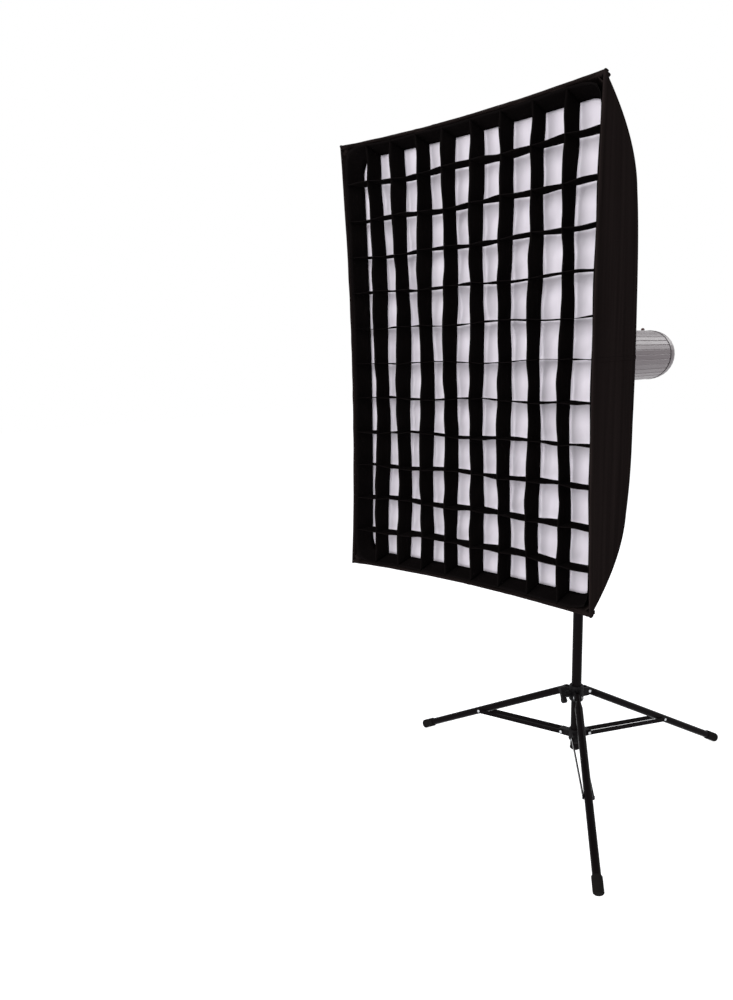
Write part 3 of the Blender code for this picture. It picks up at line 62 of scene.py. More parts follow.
# The camera as fitted to the box's front corners, the grid and the stand's feet: its turns in
# radians, its place, and its focal length as a share of the sensor.
YAW, PITCH, ROLL = -0.7759, 0.1815, -0.0257
CAMERA_PLACE = (column.x + 0.9528, column.y - 1.7244, 1.1002)
FOCAL_SHARE, SENSOR_MM = 0.7853, 36.0
bpy.context.scene.view_settings.view_transform = "Standard"
camera_data = bpy.data.cameras.new("camera")
camera_data.sensor_width = SENSOR_MM
camera_data.lens = SENSOR_MM * FOCAL_SHARE
camera = bpy.data.objects.new("camera", camera_data)
bpy.context.scene.collection.objects.link(camera)
bpy.context.scene.camera = camera
forward = Vector((math.sin(YAW) * math.cos(PITCH), math.cos(YAW) * math.cos(PITCH),
                  -math.sin(PITCH)))
level = Vector((math.cos(YAW), -math.sin(YAW), 0.0))
rise = level.cross(forward)
right = level * math.cos(ROLL) + rise * math.sin(ROLL)
up = rise * math.cos(ROLL) - level * math.sin(ROLL)
camera.matrix_world = Matrix.Translation(CAMERA_PLACE) @ Matrix(
    (right, up, -forward)).transposed().to_4x4()


def linear(code):
    """Linear RGBA of an sRGB hex colour: the sRGB curve undone channel by channel."""
    channels = [int(code[i:i + 2], 16) / 255.0 for i in (1, 3, 5)]
    return [c / 12.92 if c <= 0.04045 else ((c + 0.055) / 1.055) ** 2.4 for c in channels] + [1.0]


def add_node(tree, kind, settings=None, values=None, links=None):
    """Adds a shader node: its settings by name, its sockets' values and links by name or number."""
    node = tree.nodes.new(kind)
    for name, setting in (settings or {}).items():
        setattr(node, name, setting)
    for socket, value in (values or {}).items():
        node.inputs[socket].default_value = value
    for socket, source in (links or {}).items():
        tree.links.new(source, node.inputs[socket])
    return node


def new_material(name):
    """A new material with its node tree, empty but for the output node."""
    material = bpy.data.materials.new(name)
    material.use_nodes = True
    material.node_tree.nodes.clear()
    return material, material.node_tree, material.node_tree.nodes.new("ShaderNodeOutputMaterial")


def seen_directly(tree):
    """Socket that is 1 for camera, glossy and transmission rays, and 0 for all others."""
    path = add_node(tree, "ShaderNodeLightPath")
    seen = add_node(tree, "ShaderNodeMath", {"operation": "MAXIMUM"}, None,
                    {0: path.outputs["Is Camera Ray"], 1: path.outputs["Is Glossy Ray"]})
    seen = add_node(tree, "ShaderNodeMath", {"operation": "MAXIMUM"}, None,
                    {0: seen.outputs[0], 1: path.outputs["Is Transmission Ray"]})
    return seen.outputs[0]


# White painted floor that melts into the background, but still takes the stand's shadow.
FLOOR_GLOW, FLOOR_REACH = 0.78, 12.0
floor_paint, tree, out = new_material("white_floor_paint")
lit = add_node(tree, "ShaderNodeBsdfDiffuse", values={"Color": linear("#f4f4f4")})
strength = add_node(tree, "ShaderNodeMath", {"operation": "MULTIPLY"}, {1: FLOOR_GLOW},
                    {0: seen_directly(tree)})
glow = add_node(tree, "ShaderNodeEmission", None, {"Color": linear("#ffffff")},
                {"Strength": strength.outputs[0]})
mixed = add_node(tree, "ShaderNodeAddShader", links={0: lit.outputs[0], 1: glow.outputs[0]})
tree.links.new(mixed.outputs[0], out.inputs["Surface"])

floor_mesh = bpy.data.meshes.new("floor")
floor_mesh.from_pydata([(-FLOOR_REACH, -FLOOR_REACH, 0), (FLOOR_REACH, -FLOOR_REACH, 0),
                        (FLOOR_REACH, FLOOR_REACH, 0), (-FLOOR_REACH, FLOOR_REACH, 0)],
                       [], [(0, 1, 2, 3)])
floor_mesh.materials.append(floor_paint)
floor = bpy.data.objects.new("floor", floor_mesh)
bpy.context.scene.collection.objects.link(floor)

# The background is white to the camera and in reflections, and a soft grey fill to all the rest.
FILL_STRENGTH = 0.36
world = bpy.data.worlds.new("studio")
bpy.context.scene.world = world
world.use_nodes = True
tree = world.node_tree
tree.nodes.clear()
out = tree.nodes.new("ShaderNodeOutputWorld")
fill = add_node(tree, "ShaderNodeBackground",
                values={"Color": (0.93, 0.95, 1.0, 1.0), "Strength": FILL_STRENGTH})
white = add_node(tree, "ShaderNodeBackground",
                 values={"Color": linear("#ffffff"), "Strength": 1.0})
mixed = add_node(tree, "ShaderNodeMixShader",
                 links={0: seen_directly(tree), 1: fill.outputs[0], 2: white.outputs[0]})
tree.links.new(mixed.outputs[0], out.inputs["Surface"])

# Three square soft lamps: name, place, side in metres and power in watts, all aimed at the box.
LAMP_AIM = Vector((column.x, column.y - 0.2, 0.95))
for name, place, size, power in (("key_lamp", (0.1, -3.4, 1.8), 2.4, 92.0),
                                 ("fill_lamp", (3.4, -0.8, 2.2), 2.0, 18.0),
                                 ("back_lamp", (1.0, 3.2, 2.8), 2.0, 30.0)):
    lamp_data = bpy.data.lights.new(name, "AREA")
    lamp_data.size = size
    lamp_data.energy = power
    lamp = bpy.data.objects.new(name, lamp_data)
    bpy.context.scene.collection.objects.link(lamp)
    lamp.location = place
    lamp.rotation_euler = (LAMP_AIM - lamp.location).to_track_quat("-Z", "Y").to_euler()


# ------------------------------------------------------------------ stand tubes, legs and braces
# Drawn steel tube, cut, pressed flat at the hinges and powder coated satin black.  The braces are
# pairs of flat bars in the same finish, riveted to the legs.

def hard_finish(name, colour, scuff, roughness, grain_mm, grain_height, metallic=0.0, gleam=0.5):
    """A hard coloured finish: grain of a real size as bump, and slow changes of gloss and tone.

    The tone runs from colour to scuff in smears some 36 mm wide, 28 to the metre, and the
    roughness with it.  gleam is the specular level: about 0.05 keeps a matt black black beside a
    white background.
    """
    material, tree, out = new_material(name)
    place = add_node(tree, "ShaderNodeTexCoord")
    grain = add_node(tree, "ShaderNodeTexNoise", None,
                     {"Scale": 1000.0 / grain_mm, "Detail": 3.0, "Roughness": 0.55},
                     {"Vector": place.outputs["Object"]})
    smear = add_node(tree, "ShaderNodeTexNoise", None,
                     {"Scale": 28.0, "Detail": 5.0, "Roughness": 0.62},
                     {"Vector": place.outputs["Object"]})
    tone = add_node(tree, "ShaderNodeMix", {"data_type": "RGBA"},
                    {6: linear(colour), 7: linear(scuff)}, {0: smear.outputs["Fac"]})
    gloss = add_node(tree, "ShaderNodeMapRange", None,
                     {"To Min": roughness - 0.07, "To Max": roughness + 0.10},
                     {"Value": smear.outputs["Fac"]})
    relief = add_node(tree, "ShaderNodeBump", None, {"Strength": 0.55, "Distance": grain_height},
                      {"Height": grain.outputs["Fac"]})
    shader = add_node(tree, "ShaderNodeBsdfPrincipled", None,
                      {"Metallic": metallic, "Specular IOR Level": gleam},
                      {"Base Color": tone.outputs[2], "Roughness": gloss.outputs["Result"],
                       "Normal": relief.outputs["Normal"]})
    tree.links.new(shader.outputs["BSDF"], out.inputs["Surface"])
    return material


def dress(names, material, edge=0.0004):
    """Gives CAD nodes a finish, joins their loose triangles and rounds their sharp edges.

    edge is the rounding in metres; 0 leaves the edges as they are.
    """
    for name in names:
        piece = frame["nodes"][name]
        piece.data.materials.clear()
        piece.data.materials.append(material)
        weld = piece.modifiers.new("weld", "WELD")
        weld.merge_threshold = 0.00002
        if edge > 0:
            bevel = piece.modifiers.new("edges", "BEVEL")
            bevel.width = edge
            bevel.segments = 2
            bevel.angle_limit = math.radians(38.0)


# Satin powder coat: black, with a fine orange peel that breaks its dull highlights.
powder_coat = hard_finish("satin_powder_coat", "#0b0809", "#120e0f", 0.27, 0.9, 0.00006, gleam=0.03)
dress(["lower_tube", "middle_tube", "top_tube", "leg_1", "leg_2", "leg_3"], powder_coat)
dress(["brace_1", "brace_2", "brace_3"], powder_coat, 0.0003)


# ------------------------------------------------------------------ collars, locks and knobs
# Glass-filled nylon, injection moulded black with a fine spark-eroded grain.  The clamping knobs
# are the same moulding on steel screws.

# Moulded nylon: a shade greyer than the coat, with a spark grain that scatters what shines on it.
moulded_nylon = hard_finish("moulded_nylon", "#121112", "#1b191a", 0.46, 0.7, 0.00010, gleam=0.05)
dress(["brace_collar", "leg_collar", "lower_lock_housing", "upper_lock_housing", "column_end_plug"],
      moulded_nylon, 0.0005)
dress(["leg_collar_knob", "lower_lock_knob", "upper_lock_knob", "socket_knob"],
      moulded_nylon, 0.0006)


# ------------------------------------------------------------------ rivet heads
# Bright steel rivets hold the braces to the legs and the legs and braces to their collars.  Each
# ends in a low dome on either side.

def grid_mesh(name, points, material, wrap=False, ring=False, outward=None):
    """A mesh over a grid of points, rows by columns, with running lengths along both as its UV.

    wrap joins the last column to the first and ring the last row to the first.  The UV is the
    running distance in metres, so that a weave keeps its real size.  The faces turn away from
    outward, a point inside the form: the sum of area times distance along the normal is positive.
    """
    def cells(grid):
        return np.stack([grid[:-1, :-1], grid[:-1, 1:], grid[1:, 1:], grid[1:, :-1]], 2).reshape(
            -1, 4, *grid.shape[2:])

    index = np.arange(points.shape[0] * points.shape[1]).reshape(points.shape[:2])
    if wrap:
        index = np.hstack([index, index[:, :1]])
    if ring:
        index = np.vstack([index, index[:1]])
    shown = points.reshape(-1, 3)[index]
    run_u = np.append(0.0, np.linalg.norm(np.diff(shown, axis=1), axis=2).mean(0).cumsum())
    run_v = np.append(0.0, np.linalg.norm(np.diff(shown, axis=0), axis=2).mean(1).cumsum())
    faces, corners = cells(index), cells(shown)
    uv = cells(np.stack(np.meshgrid(run_u, run_v), -1))
    normal = np.cross(corners[:, 1] - corners[:, 0], corners[:, 3] - corners[:, 0])
    if outward is not None and (normal * (corners.mean(1) - np.asarray(outward))).sum() < 0:
        faces, uv = faces[:, ::-1], uv[:, ::-1]
    mesh = bpy.data.meshes.new(name)
    mesh.from_pydata(points.reshape(-1, 3).tolist(), [], faces.tolist())
    layer = mesh.uv_layers.new(name="cloth")
    layer.data.foreach_set("uv", np.ascontiguousarray(uv, dtype=np.float32).reshape(-1))
    mesh.shade_smooth()
    mesh.materials.append(material)
    piece = bpy.data.objects.new(name, mesh)
    bpy.context.scene.collection.objects.link(piece)
    return piece


def joined(pieces, name):
    """One object made of several, under the given name."""
    with bpy.context.temp_override(active_object=pieces[0], selected_editable_objects=pieces,
                                   object=pieces[0]):
        bpy.ops.object.join()
    pieces[0].name = pieces[0].data.name = name
    return pieces[0]


def rivet_heads(name, centres, way, reach, material):
    """Domes at both ends of round pins: a profile of radius and height turned about the pin.

    The heads stand at reach from each centre along way, the pins' direction.
    """
    profile_mm = [(0.0, 1.5), (2.0, 1.35), (3.4, 0.85), (4.1, 0.1), (4.0, -0.3), (0.0, -0.3)]
    profile = np.array(profile_mm) / 1000.0
    turn = np.linspace(0.0, math.tau, 25)[:-1]
    way = np.asarray(way, dtype=float)
    side = np.cross(way, (0.0, 0.0, 1.0))
    rise = np.cross(side, way)
    pieces = []
    for centre in centres:
        for sign in (-1.0, 1.0):
            spot = np.asarray(centre) + sign * reach * way
            around = np.cos(turn)[:, None] * side + np.sin(turn)[:, None] * rise
            points = (spot + profile[:, None, :1] * around + sign * profile[:, None, 1:] * way)
            pieces.append(grid_mesh(name, points, material, wrap=True,
                                    outward=spot + sign * 0.0005 * way))
    heads = joined(pieces, name)
    poles = heads.modifiers.new("closed_poles", "WELD")
    poles.merge_threshold = 0.00001
    return heads


# Turned steel, zinc plated: bright and slightly blue, with fine tool marks.
turned_steel = hard_finish("turned_steel", "#b9bbbe", "#a3a4a6", 0.27, 0.5, 0.00002, metallic=1.0)
joint_at = {joint["name"]: (np.array(joint["pos_m"]), np.array(joint["axis"]))
            for joint in frame["joints"] if "pos_m" in joint}
LEG_TO_BRACE = 0.278            # along the leg, from its pivot to the brace's rivet
LEG_COLLAR_REACH = 0.0098       # from a leg's middle to the outside of the collar's fork
BRACE_REACH = 0.0134            # from a leg's middle to the outside of its brace's bars
for number in (1, 2, 3):
    hinge, way = joint_at[f"leg_{number}_hinge"]
    pins = rivet_heads(f"leg_pin_{number}", [hinge], way, LEG_COLLAR_REACH, turned_steel)
    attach(pins, "leg_collar")
    foot_low, foot_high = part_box(f"foot_{number}")
    down_leg = np.array((foot_low + foot_high) / 2) - hinge
    down_leg /= np.linalg.norm(down_leg)
    lower = joint_at[f"brace_{number}_hinge"][0]
    pins = rivet_heads(f"brace_rivets_{number}", [lower, hinge + LEG_TO_BRACE * down_leg], way,
                       BRACE_REACH, turned_steel)
    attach(pins, f"brace_{number}")


# ------------------------------------------------------------------ feet
# Soft black rubber caps, moulded and pressed over the leg ends.  They are dull and a little dusty,
# and cut flat where they meet the floor.

# Rubber: the dullest black here, with hardly a highlight.
rubber = hard_finish("foot_rubber", "#131211", "#1f1d1c", 0.78, 1.4, 0.00015, gleam=0.03)
dress(["foot_1", "foot_2", "foot_3"], rubber, 0.0006)


# ------------------------------------------------------------------ stud and tilt bracket
# The stud and the bolt are turned steel, zinc plated; the socket and the tongue are cast aluminium
# with a black textured coat; the lever is moulded nylon.

# Textured coat on cast aluminium: black, with a coarse grain that glitters faintly.
cast_coat = hard_finish("textured_cast_coat", "#131213", "#1c1b1c", 0.45, 1.1, 0.00016, gleam=0.06)
dress(["stud", "tilt_bolt"], turned_steel, 0.0003)
dress(["stud_socket", "tilt_block"], cast_coat, 0.0007)
dress(["tilt_lever"], moulded_nylon, 0.0008)


# ------------------------------------------------------------------ flash head housing
# Extruded aluminium tube with fine grooves along it between a cast front ring and a moulded rear
# cover, all painted a warm grey; the rear panel has a recessed inlet and black controls.

AXIS_HEIGHT = 1.0835            # the head's axis above the floor

# Baked enamel: a warm grey with a soft gloss that draws a light line along each groove.
head_paint = hard_finish("warm_grey_paint", "#5f5257", "#6a5c61", 0.32, 0.8, 0.00005)
dress(["head_body", "front_housing", "rear_cap"], head_paint, 0.0003)
dress(["power_dial", "lamp_dial", "power_switch", "mains_inlet", "test_button"],
      moulded_nylon, 0.0003)
dress(["sync_socket"], turned_steel, 0.0)
# Polished acrylic over the sensor: a dark smoky red, glossy.
smoked_acrylic = hard_finish("smoked_red_acrylic", "#5b2a27", "#6a322e", 0.12, 2.0, 0.00001)
dress(["slave_sensor"], smoked_acrylic, 0.0)

# A black rubber gasket fills the joint between the tube and the rear cover: an oblong section,
# given as radius and place along Y, turned about the lamp's axis.
body_low, body_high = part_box("head_body")
HEAD_RADIUS = (body_high.x - body_low.x) / 2
gasket_section = np.array([(-0.0020, -0.0012), (0.0003, -0.0012), (0.0006, -0.0007),
                           (0.0006, 0.0007), (0.0003, 0.0012), (-0.0020, 0.0012)])
turn = np.linspace(0.0, math.tau, 97)[:-1]
radius = HEAD_RADIUS + gasket_section[:, :1]
gasket_points = np.stack([column.x + radius * np.cos(turn),
                          body_high.y + gasket_section[:, 1:] + 0.0 * turn,
                          AXIS_HEIGHT + radius * np.sin(turn)], -1)
gasket = grid_mesh("head_gasket", gasket_points, rubber, wrap=True, ring=True,
                   outward=(column.x, body_high.y, AXIS_HEIGHT))
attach(gasket, "head")


# ------------------------------------------------------------------ lamp
# A frosted glass dome over the modelling lamp, inside an open ring of flash tube, in front of a
# shallow turned aluminium dish.

# Frosted glass: a warm off-white with an etched, silky surface.
frosted_glass = hard_finish("frosted_glass", "#e9e3d8", "#f2eee6", 0.35, 0.6, 0.00002)
dress(["flash_tube", "modelling_lamp"], frosted_glass, 0.0)
dress(["reflector_dish"], turned_steel, 0.0)


# ------------------------------------------------------------------ ring, ribs and umbrella frame
# Pressed and turned steel ring, black sprung steel ribs, and a plated umbrella mechanism that
# spreads them: runner, shaft, wires and hub.

dress(["speed_ring", "ring_insert", "hub_bridge", "runner", "centre_shaft",
       "stretcher_1", "stretcher_2", "stretcher_3", "stretcher_4"], turned_steel, 0.0003)
dress(["rib_1", "rib_2", "rib_3", "rib_4"], powder_coat, 0.0)


# ------------------------------------------------------------------ softbox shell
# Four panels of black coated nylon, sewn together along the rib sleeves and cut so that the ribs
# bow them outwards.  Each carries faint upright folds, puckers at the ring and a rolled front hem.

BOX_WIDTH, BOX_HEIGHT, BOX_DEPTH = 0.600, 0.900, 0.455
FRONT_Y = column.y - 0.500
RING_Y = FRONT_Y + BOX_DEPTH
RING_RADIUS = 0.100
CORNER_REACH = math.hypot(BOX_WIDTH, BOX_HEIGHT) / 2
CORNER_ANGLE = math.atan2(BOX_HEIGHT, BOX_WIDTH)
BACK_SCALE = RING_RADIUS / CORNER_REACH
RIB_BEND = 0.43                 # power of depth that the ribs' curve follows
PROUD = 0.020                   # how far the cloth stands off the ribs, as a share of the front
# How far each front edge sags in at its middle, and each panel swells out at its own.
SAG = {"right": 0.007, "left": 0.017, "top": 0.010, "bottom": 0.010}
SWELL = {"right": 0.008, "left": 0.008, "top": 0.004, "bottom": 0.004}


def section_scale(depth):
    """Size of the box's section as a share of its front: the ring's share plus a power of depth.

    The tight cloth stands a little off the ribs between ring and front, by a half sine of depth.
    """
    return (BACK_SCALE + (1.0 - BACK_SCALE) * depth ** RIB_BEND
            + PROUD * np.sin(math.pi * depth ** 0.7))


def wall_reach(side, depth, share):
    """Distance of a panel from the lamp's axis: half the front times the section's size.

    The front edge sags with the cube of depth and a parabola across; the middle of the cloth
    swells by a half sine of depth to the 0.7 times one minus the fourth power of share.
    """
    half_out = (BOX_HEIGHT if side in ("top", "bottom") else BOX_WIDTH) / 2
    sag = SAG[side] * depth ** 3 * (1.0 - share ** 2)
    swell = SWELL[side] * np.sin(math.pi * depth ** 0.7) * (1.0 - share ** 4)
    return half_out * section_scale(depth) - sag + swell


def panel_points(side, depth, share, inset):
    """Points of one panel: a rectangle scaled by depth, blended into the ring's circle at the back.

    depth runs 0..1 from ring to front, share -1..1 between two ribs; inset goes in along the
    wall's normal.
    """
    wide = side in ("top", "bottom")
    half_out, half_across = ((BOX_HEIGHT, BOX_WIDTH) if wide else (BOX_WIDTH, BOX_HEIGHT))
    half_out, half_across = half_out / 2, half_across / 2
    spread = math.pi / 2 - CORNER_ANGLE if wide else CORNER_ANGLE
    scale = section_scale(depth)
    roundness = (1.0 - depth) ** 16
    out = (wall_reach(side, depth, share) * (1 - roundness)
           + RING_RADIUS * np.cos(spread * share) * roundness)
    over = (half_across * scale * share * (1 - roundness)
            + RING_RADIUS * np.sin(spread * share) * roundness)
    slope = half_out * (1.0 - BACK_SCALE) * RIB_BEND * np.maximum(depth, 0.02) ** (RIB_BEND - 1.0)
    length = np.hypot(slope, BOX_DEPTH)
    out = out - inset * BOX_DEPTH / length
    y = RING_Y - depth * BOX_DEPTH - inset * slope / length
    if side in ("left", "bottom"):
        out = -out
    x, z = (over, out) if wide else (out, over)
    return np.stack([column.x + x, y + 0 * x, AXIS_HEIGHT + z], axis=-1)


def woven(name, colour, tint, roughness, thread_mm, relief_mm, sheen, gleam, crease_mm=60.0,
          cloud_scale=(9.0, 9.0, 9.0)):
    """Plain-woven cloth: crossed threads and slow cockling as bump, and a cloudy change of tone.

    The real threads lie 0.3 to 0.5 mm apart; thread_mm is coarser, so that the weave shows.
    cloud_scale is clouds per metre along X, Y and Z, so that they can run as upright streaks of
    painted sheen.
    """
    material, tree, out = new_material(name)
    place = add_node(tree, "ShaderNodeTexCoord")
    threads = []
    for direction in ("X", "Y"):
        threads.append(add_node(
            tree, "ShaderNodeTexWave", {"bands_direction": direction, "wave_profile": "SIN"},
            {"Scale": math.tau / 20 * 1000.0 / thread_mm, "Distortion": 0.6, "Detail": 1.0},
            {"Vector": place.outputs["UV"]}))
    weave = add_node(tree, "ShaderNodeMath", {"operation": "MULTIPLY"}, None,
                     {0: threads[0].outputs["Fac"], 1: threads[1].outputs["Fac"]})
    cockle = add_node(tree, "ShaderNodeTexNoise", None,
                      {"Scale": 1000.0 / crease_mm, "Detail": 4.0, "Roughness": 0.55,
                       "Distortion": 0.6},
                      {"Vector": place.outputs["Object"]})
    fine = add_node(tree, "ShaderNodeBump", None, {"Strength": 0.6, "Distance": relief_mm / 1000.0},
                    {"Height": weave.outputs[0]})
    relief = add_node(tree, "ShaderNodeBump", None, {"Strength": 0.5, "Distance": 0.0025},
                      {"Height": cockle.outputs["Fac"], "Normal": fine.outputs["Normal"]})
    spread = add_node(tree, "ShaderNodeMapping", None, {"Scale": cloud_scale},
                      {"Vector": place.outputs["Object"]})
    cloud = add_node(tree, "ShaderNodeTexNoise", None,
                     {"Scale": 1.0, "Detail": 3.0, "Roughness": 0.6},
                     {"Vector": spread.outputs["Vector"]})
    tone = add_node(tree, "ShaderNodeMix", {"data_type": "RGBA"},
                    {6: linear(colour), 7: linear(tint)}, {0: cloud.outputs["Fac"]})
    shader = add_node(tree, "ShaderNodeBsdfPrincipled", None,
                      {"Roughness": roughness, "Sheen Weight": sheen,
                       "Sheen Roughness": 0.45, "Specular IOR Level": gleam},
                      {"Base Color": tone.outputs[2], "Normal": relief.outputs["Normal"]})
    tree.links.new(shader.outputs["BSDF"], out.inputs["Surface"])
    return material


# Coated nylon: a matt warm black, with painted sheen in it: upright streaks a shade lighter, made
# as stretched clouds of tone.
black_nylon = woven("coated_black_nylon", "#0c0909", "#2b2423", 0.50, 1.1, 0.10, 0.0, 0.0,
                    cloud_scale=(9.0, 34.0, 1.6))


def folds(depth, share, phase):
    """How far a panel stands in from its smooth form, in metres.

    Upright folds are a sum of sines of depth that fade at ribs, ring and hem; puckers run out from
    the ring and die away; the hem gathers the last centimetres in short shallow waves.  The last
    two fade as bell curves of depth.
    """
    upright = (0.0016 * np.sin(21.0 * depth + 2.0 * share + phase)
               + 0.0010 * np.sin(43.0 * depth - 3.1 * share + 2 * phase))
    upright = upright * (1.0 - share ** 2) * np.sin(math.pi * depth) ** 1.2
    puckers = 0.0013 * np.sin(share * 17.0 + phase) * np.exp(-((depth - 0.05) / 0.07) ** 2)
    gathers = (0.0007 * np.sin(share * 31.0 + 5.0 * np.sin(4.0 * share))
               * np.exp(-((1 - depth) / 0.05) ** 2))
    return upright + puckers + gathers


def cloth_wall(piece, thickness, offset=-1.0):
    """Gives a sheet the thickness of its cloth: inwards at offset -1, to both sides at 0."""
    wall = piece.modifiers.new("cloth", "SOLIDIFY")
    wall.thickness = thickness
    wall.offset = offset
    return piece


box_middle = (column.x, RING_Y - 0.25, AXIS_HEIGHT)     # the box's cloth faces away from here
PANEL_PHASE = {"right": 0.0, "top": 1.7, "left": 3.4, "bottom": 5.1}
depth, share = np.meshgrid(np.linspace(0.0, 1.0, 72) ** 1.9,
                           np.sin(np.linspace(-1.0, 1.0, 61) * math.pi / 2), indexing="ij")
CLOTH_GAP = 0.0004              # from the panels' nominal form to the cloth's outside
# The side panels' felled seam at mid-height, as place across it and height over the panel; its
# middle dips where it is stitched.
seam_depth = np.linspace(0.10, 0.985, 80)
seam_across = np.array([-0.0042, -0.0036, -0.0012, 0.0, 0.0012, 0.0036, 0.0042])
seam_lift = np.array([-0.0003, 0.0007, 0.0009, 0.0004, 0.0009, 0.0007, -0.0003])
for side in ("right", "top", "left", "bottom"):
    points = panel_points(side, depth, share, CLOTH_GAP + folds(depth, share, PANEL_PHASE[side]))
    panel = cloth_wall(grid_mesh(f"shell_{side}_cloth", points, black_nylon,
                                 outward=box_middle), 0.0006)
    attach(panel, "softbox")
    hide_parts(f"shell_{side}")
    if side in ("right", "left"):
        along, over = np.meshgrid(seam_depth, seam_across, indexing="ij")
        over = over / (BOX_HEIGHT / 2 * section_scale(along))
        raised = CLOTH_GAP + folds(along, over, PANEL_PHASE[side]) - seam_lift
        seam = cloth_wall(grid_mesh(f"mid_seam_{side}", panel_points(side, along, over, raised),
                                    black_nylon, outward=box_middle), 0.0003)
        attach(seam, "softbox")


# ------------------------------------------------------------------ front hem, pockets, ring hem
# A doubled edge binding is sewn round the front; stitched pockets at its corners take the rib tips.
# At the back the cloth is rolled over a cord that lies against the ring.

def loop_stations(count):
    """Stations once round the box: each side's share from one rib to the next, in order.

    They lie closer near the ribs, as a sine of even steps.
    """
    line = np.sin(np.linspace(-1.0, 1.0, count) * math.pi / 2)
    return [(side, line if side in ("right", "bottom") else line[::-1])
            for side in ("right", "top", "left", "bottom")]


def tube_along(path, out_radius, along_radius, bulge):
    """Closed flattened tube round a closed path: an ellipse in the plane of Y and the way out.

    bulge is its width at each point of the path, as a share.
    """
    middle = path.mean(axis=0)
    arm = path - middle
    arm[:, 1] = 0.0
    ahead = np.roll(path, -1, axis=0) - np.roll(path, 1, axis=0)
    ahead /= np.linalg.norm(ahead, axis=1)[:, None]
    out_way = np.cross(ahead, np.array([0.0, 1.0, 0.0]))
    out_way *= np.sign((out_way * arm).sum(axis=1))[:, None]
    out_way /= np.linalg.norm(out_way, axis=1)[:, None]
    angle = np.linspace(0.0, math.tau, 14, endpoint=False)
    ring = (out_way[:, None, :] * (np.cos(angle)[None, :] * bulge[:, None])[..., None] * out_radius
            + np.array([0.0, 1.0, 0.0]) * np.sin(angle)[None, :, None] * along_radius)
    return path[:, None, :] + ring


def once_round(depth, count, inset):
    """Closed path round the panels at one depth, without the doubled points at the ribs."""
    path = np.concatenate([panel_points(side, np.full_like(line, depth), line, inset)
                           for side, line in loop_stations(count)])
    return path[np.linalg.norm(path - np.roll(path, 1, axis=0), axis=1) > 1e-6]


HEM_OUT, HEM_ALONG = 0.0026, 0.0060         # half the hem's thickness and width
front = once_round(1.0, 61, 0.0016)
front[:, 1] += HEM_ALONG - 0.0002
run = np.arange(len(front))
gathered = 1.0 + 0.10 * np.sin(run * 0.9) + 0.07 * np.sin(run * 0.37 + 1.0)
hem = grid_mesh("front_hem", tube_along(front, HEM_OUT, HEM_ALONG, gathered), black_nylon,
                wrap=True, ring=True, outward=box_middle)
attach(hem, "softbox")


POCKET_X, POCKET_Y, POCKET_Z = 0.0105, 0.0125, 0.0048       # half the pocket's size


def pocket_points(side_x, side_z, seed):
    """Soft cap over a corner: a superellipsoid, blunt across and long along Y, with gathered folds.

    Its radius swells and shrinks by sines round the Y axis, as cloth does where it is gathered.
    """
    turn, climb = np.meshgrid(np.linspace(0.0, math.tau, 41)[:-1], np.linspace(-1.0, 1.0, 25),
                              indexing="xy")
    height = np.sin(climb * math.pi / 2)
    girth = np.clip(1.0 - np.abs(height) ** 2.6, 0.0, 1.0) ** (1 / 2.6)
    girth = np.maximum(girth, 0.02)
    wave = 1.0 + 0.07 * np.sin(5.0 * turn + seed) + 0.04 * np.sin(11.0 * turn + 2.0 * height + seed)
    square = (np.abs(np.cos(turn)) ** 3.0 + np.abs(np.sin(turn)) ** 3.0) ** (-1 / 3.0)
    x = np.cos(turn) * square * girth * wave * POCKET_X
    z = np.sin(turn) * square * girth * wave * POCKET_Z
    y = height * POCKET_Y
    corner = panel_points("right", np.full(1, 1.0 - 0.0115 / BOX_DEPTH),
                          np.full(1, float(side_z)), 0.0)[0]
    middle_x = column.x + side_x * (corner[0] - column.x - 0.0080)
    return np.stack([middle_x + x, corner[1] + y, corner[2] - side_z * 0.0012 + z], axis=-1)


for number, (side_x, side_z) in enumerate(((1, 1), (-1, 1), (-1, -1), (1, -1)), start=1):
    points = pocket_points(side_x, side_z, 1.3 * number)
    pocket = grid_mesh(f"corner_pocket_{number}", points, black_nylon, wrap=True,
                       outward=tuple(points.reshape(-1, 3).mean(0)))
    finish = pocket.modifiers.new("closed_ends", "WELD")
    finish.merge_threshold = 0.0004
    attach(pocket, "softbox")

# The rolled back hem with its cord, drawn against the ring.
ROLL_RADIUS = 0.0030
ring_run = once_round(0.003, 41, -0.0002)
run = np.arange(len(ring_run))
rolled = 1.0 + 0.12 * np.sin(run * 1.7) + 0.08 * np.sin(run * 0.61)
back_hem = grid_mesh("back_hem", tube_along(ring_run, ROLL_RADIUS, ROLL_RADIUS, rolled),
                     black_nylon, wrap=True, ring=True, outward=box_middle)
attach(back_hem, "softbox")


# ------------------------------------------------------------------ silver lining
# Aluminised polyester, crumpled from folding, sewn along the front band and left loose near the
# ribs.  It shows a fine bright grain with long soft creases.

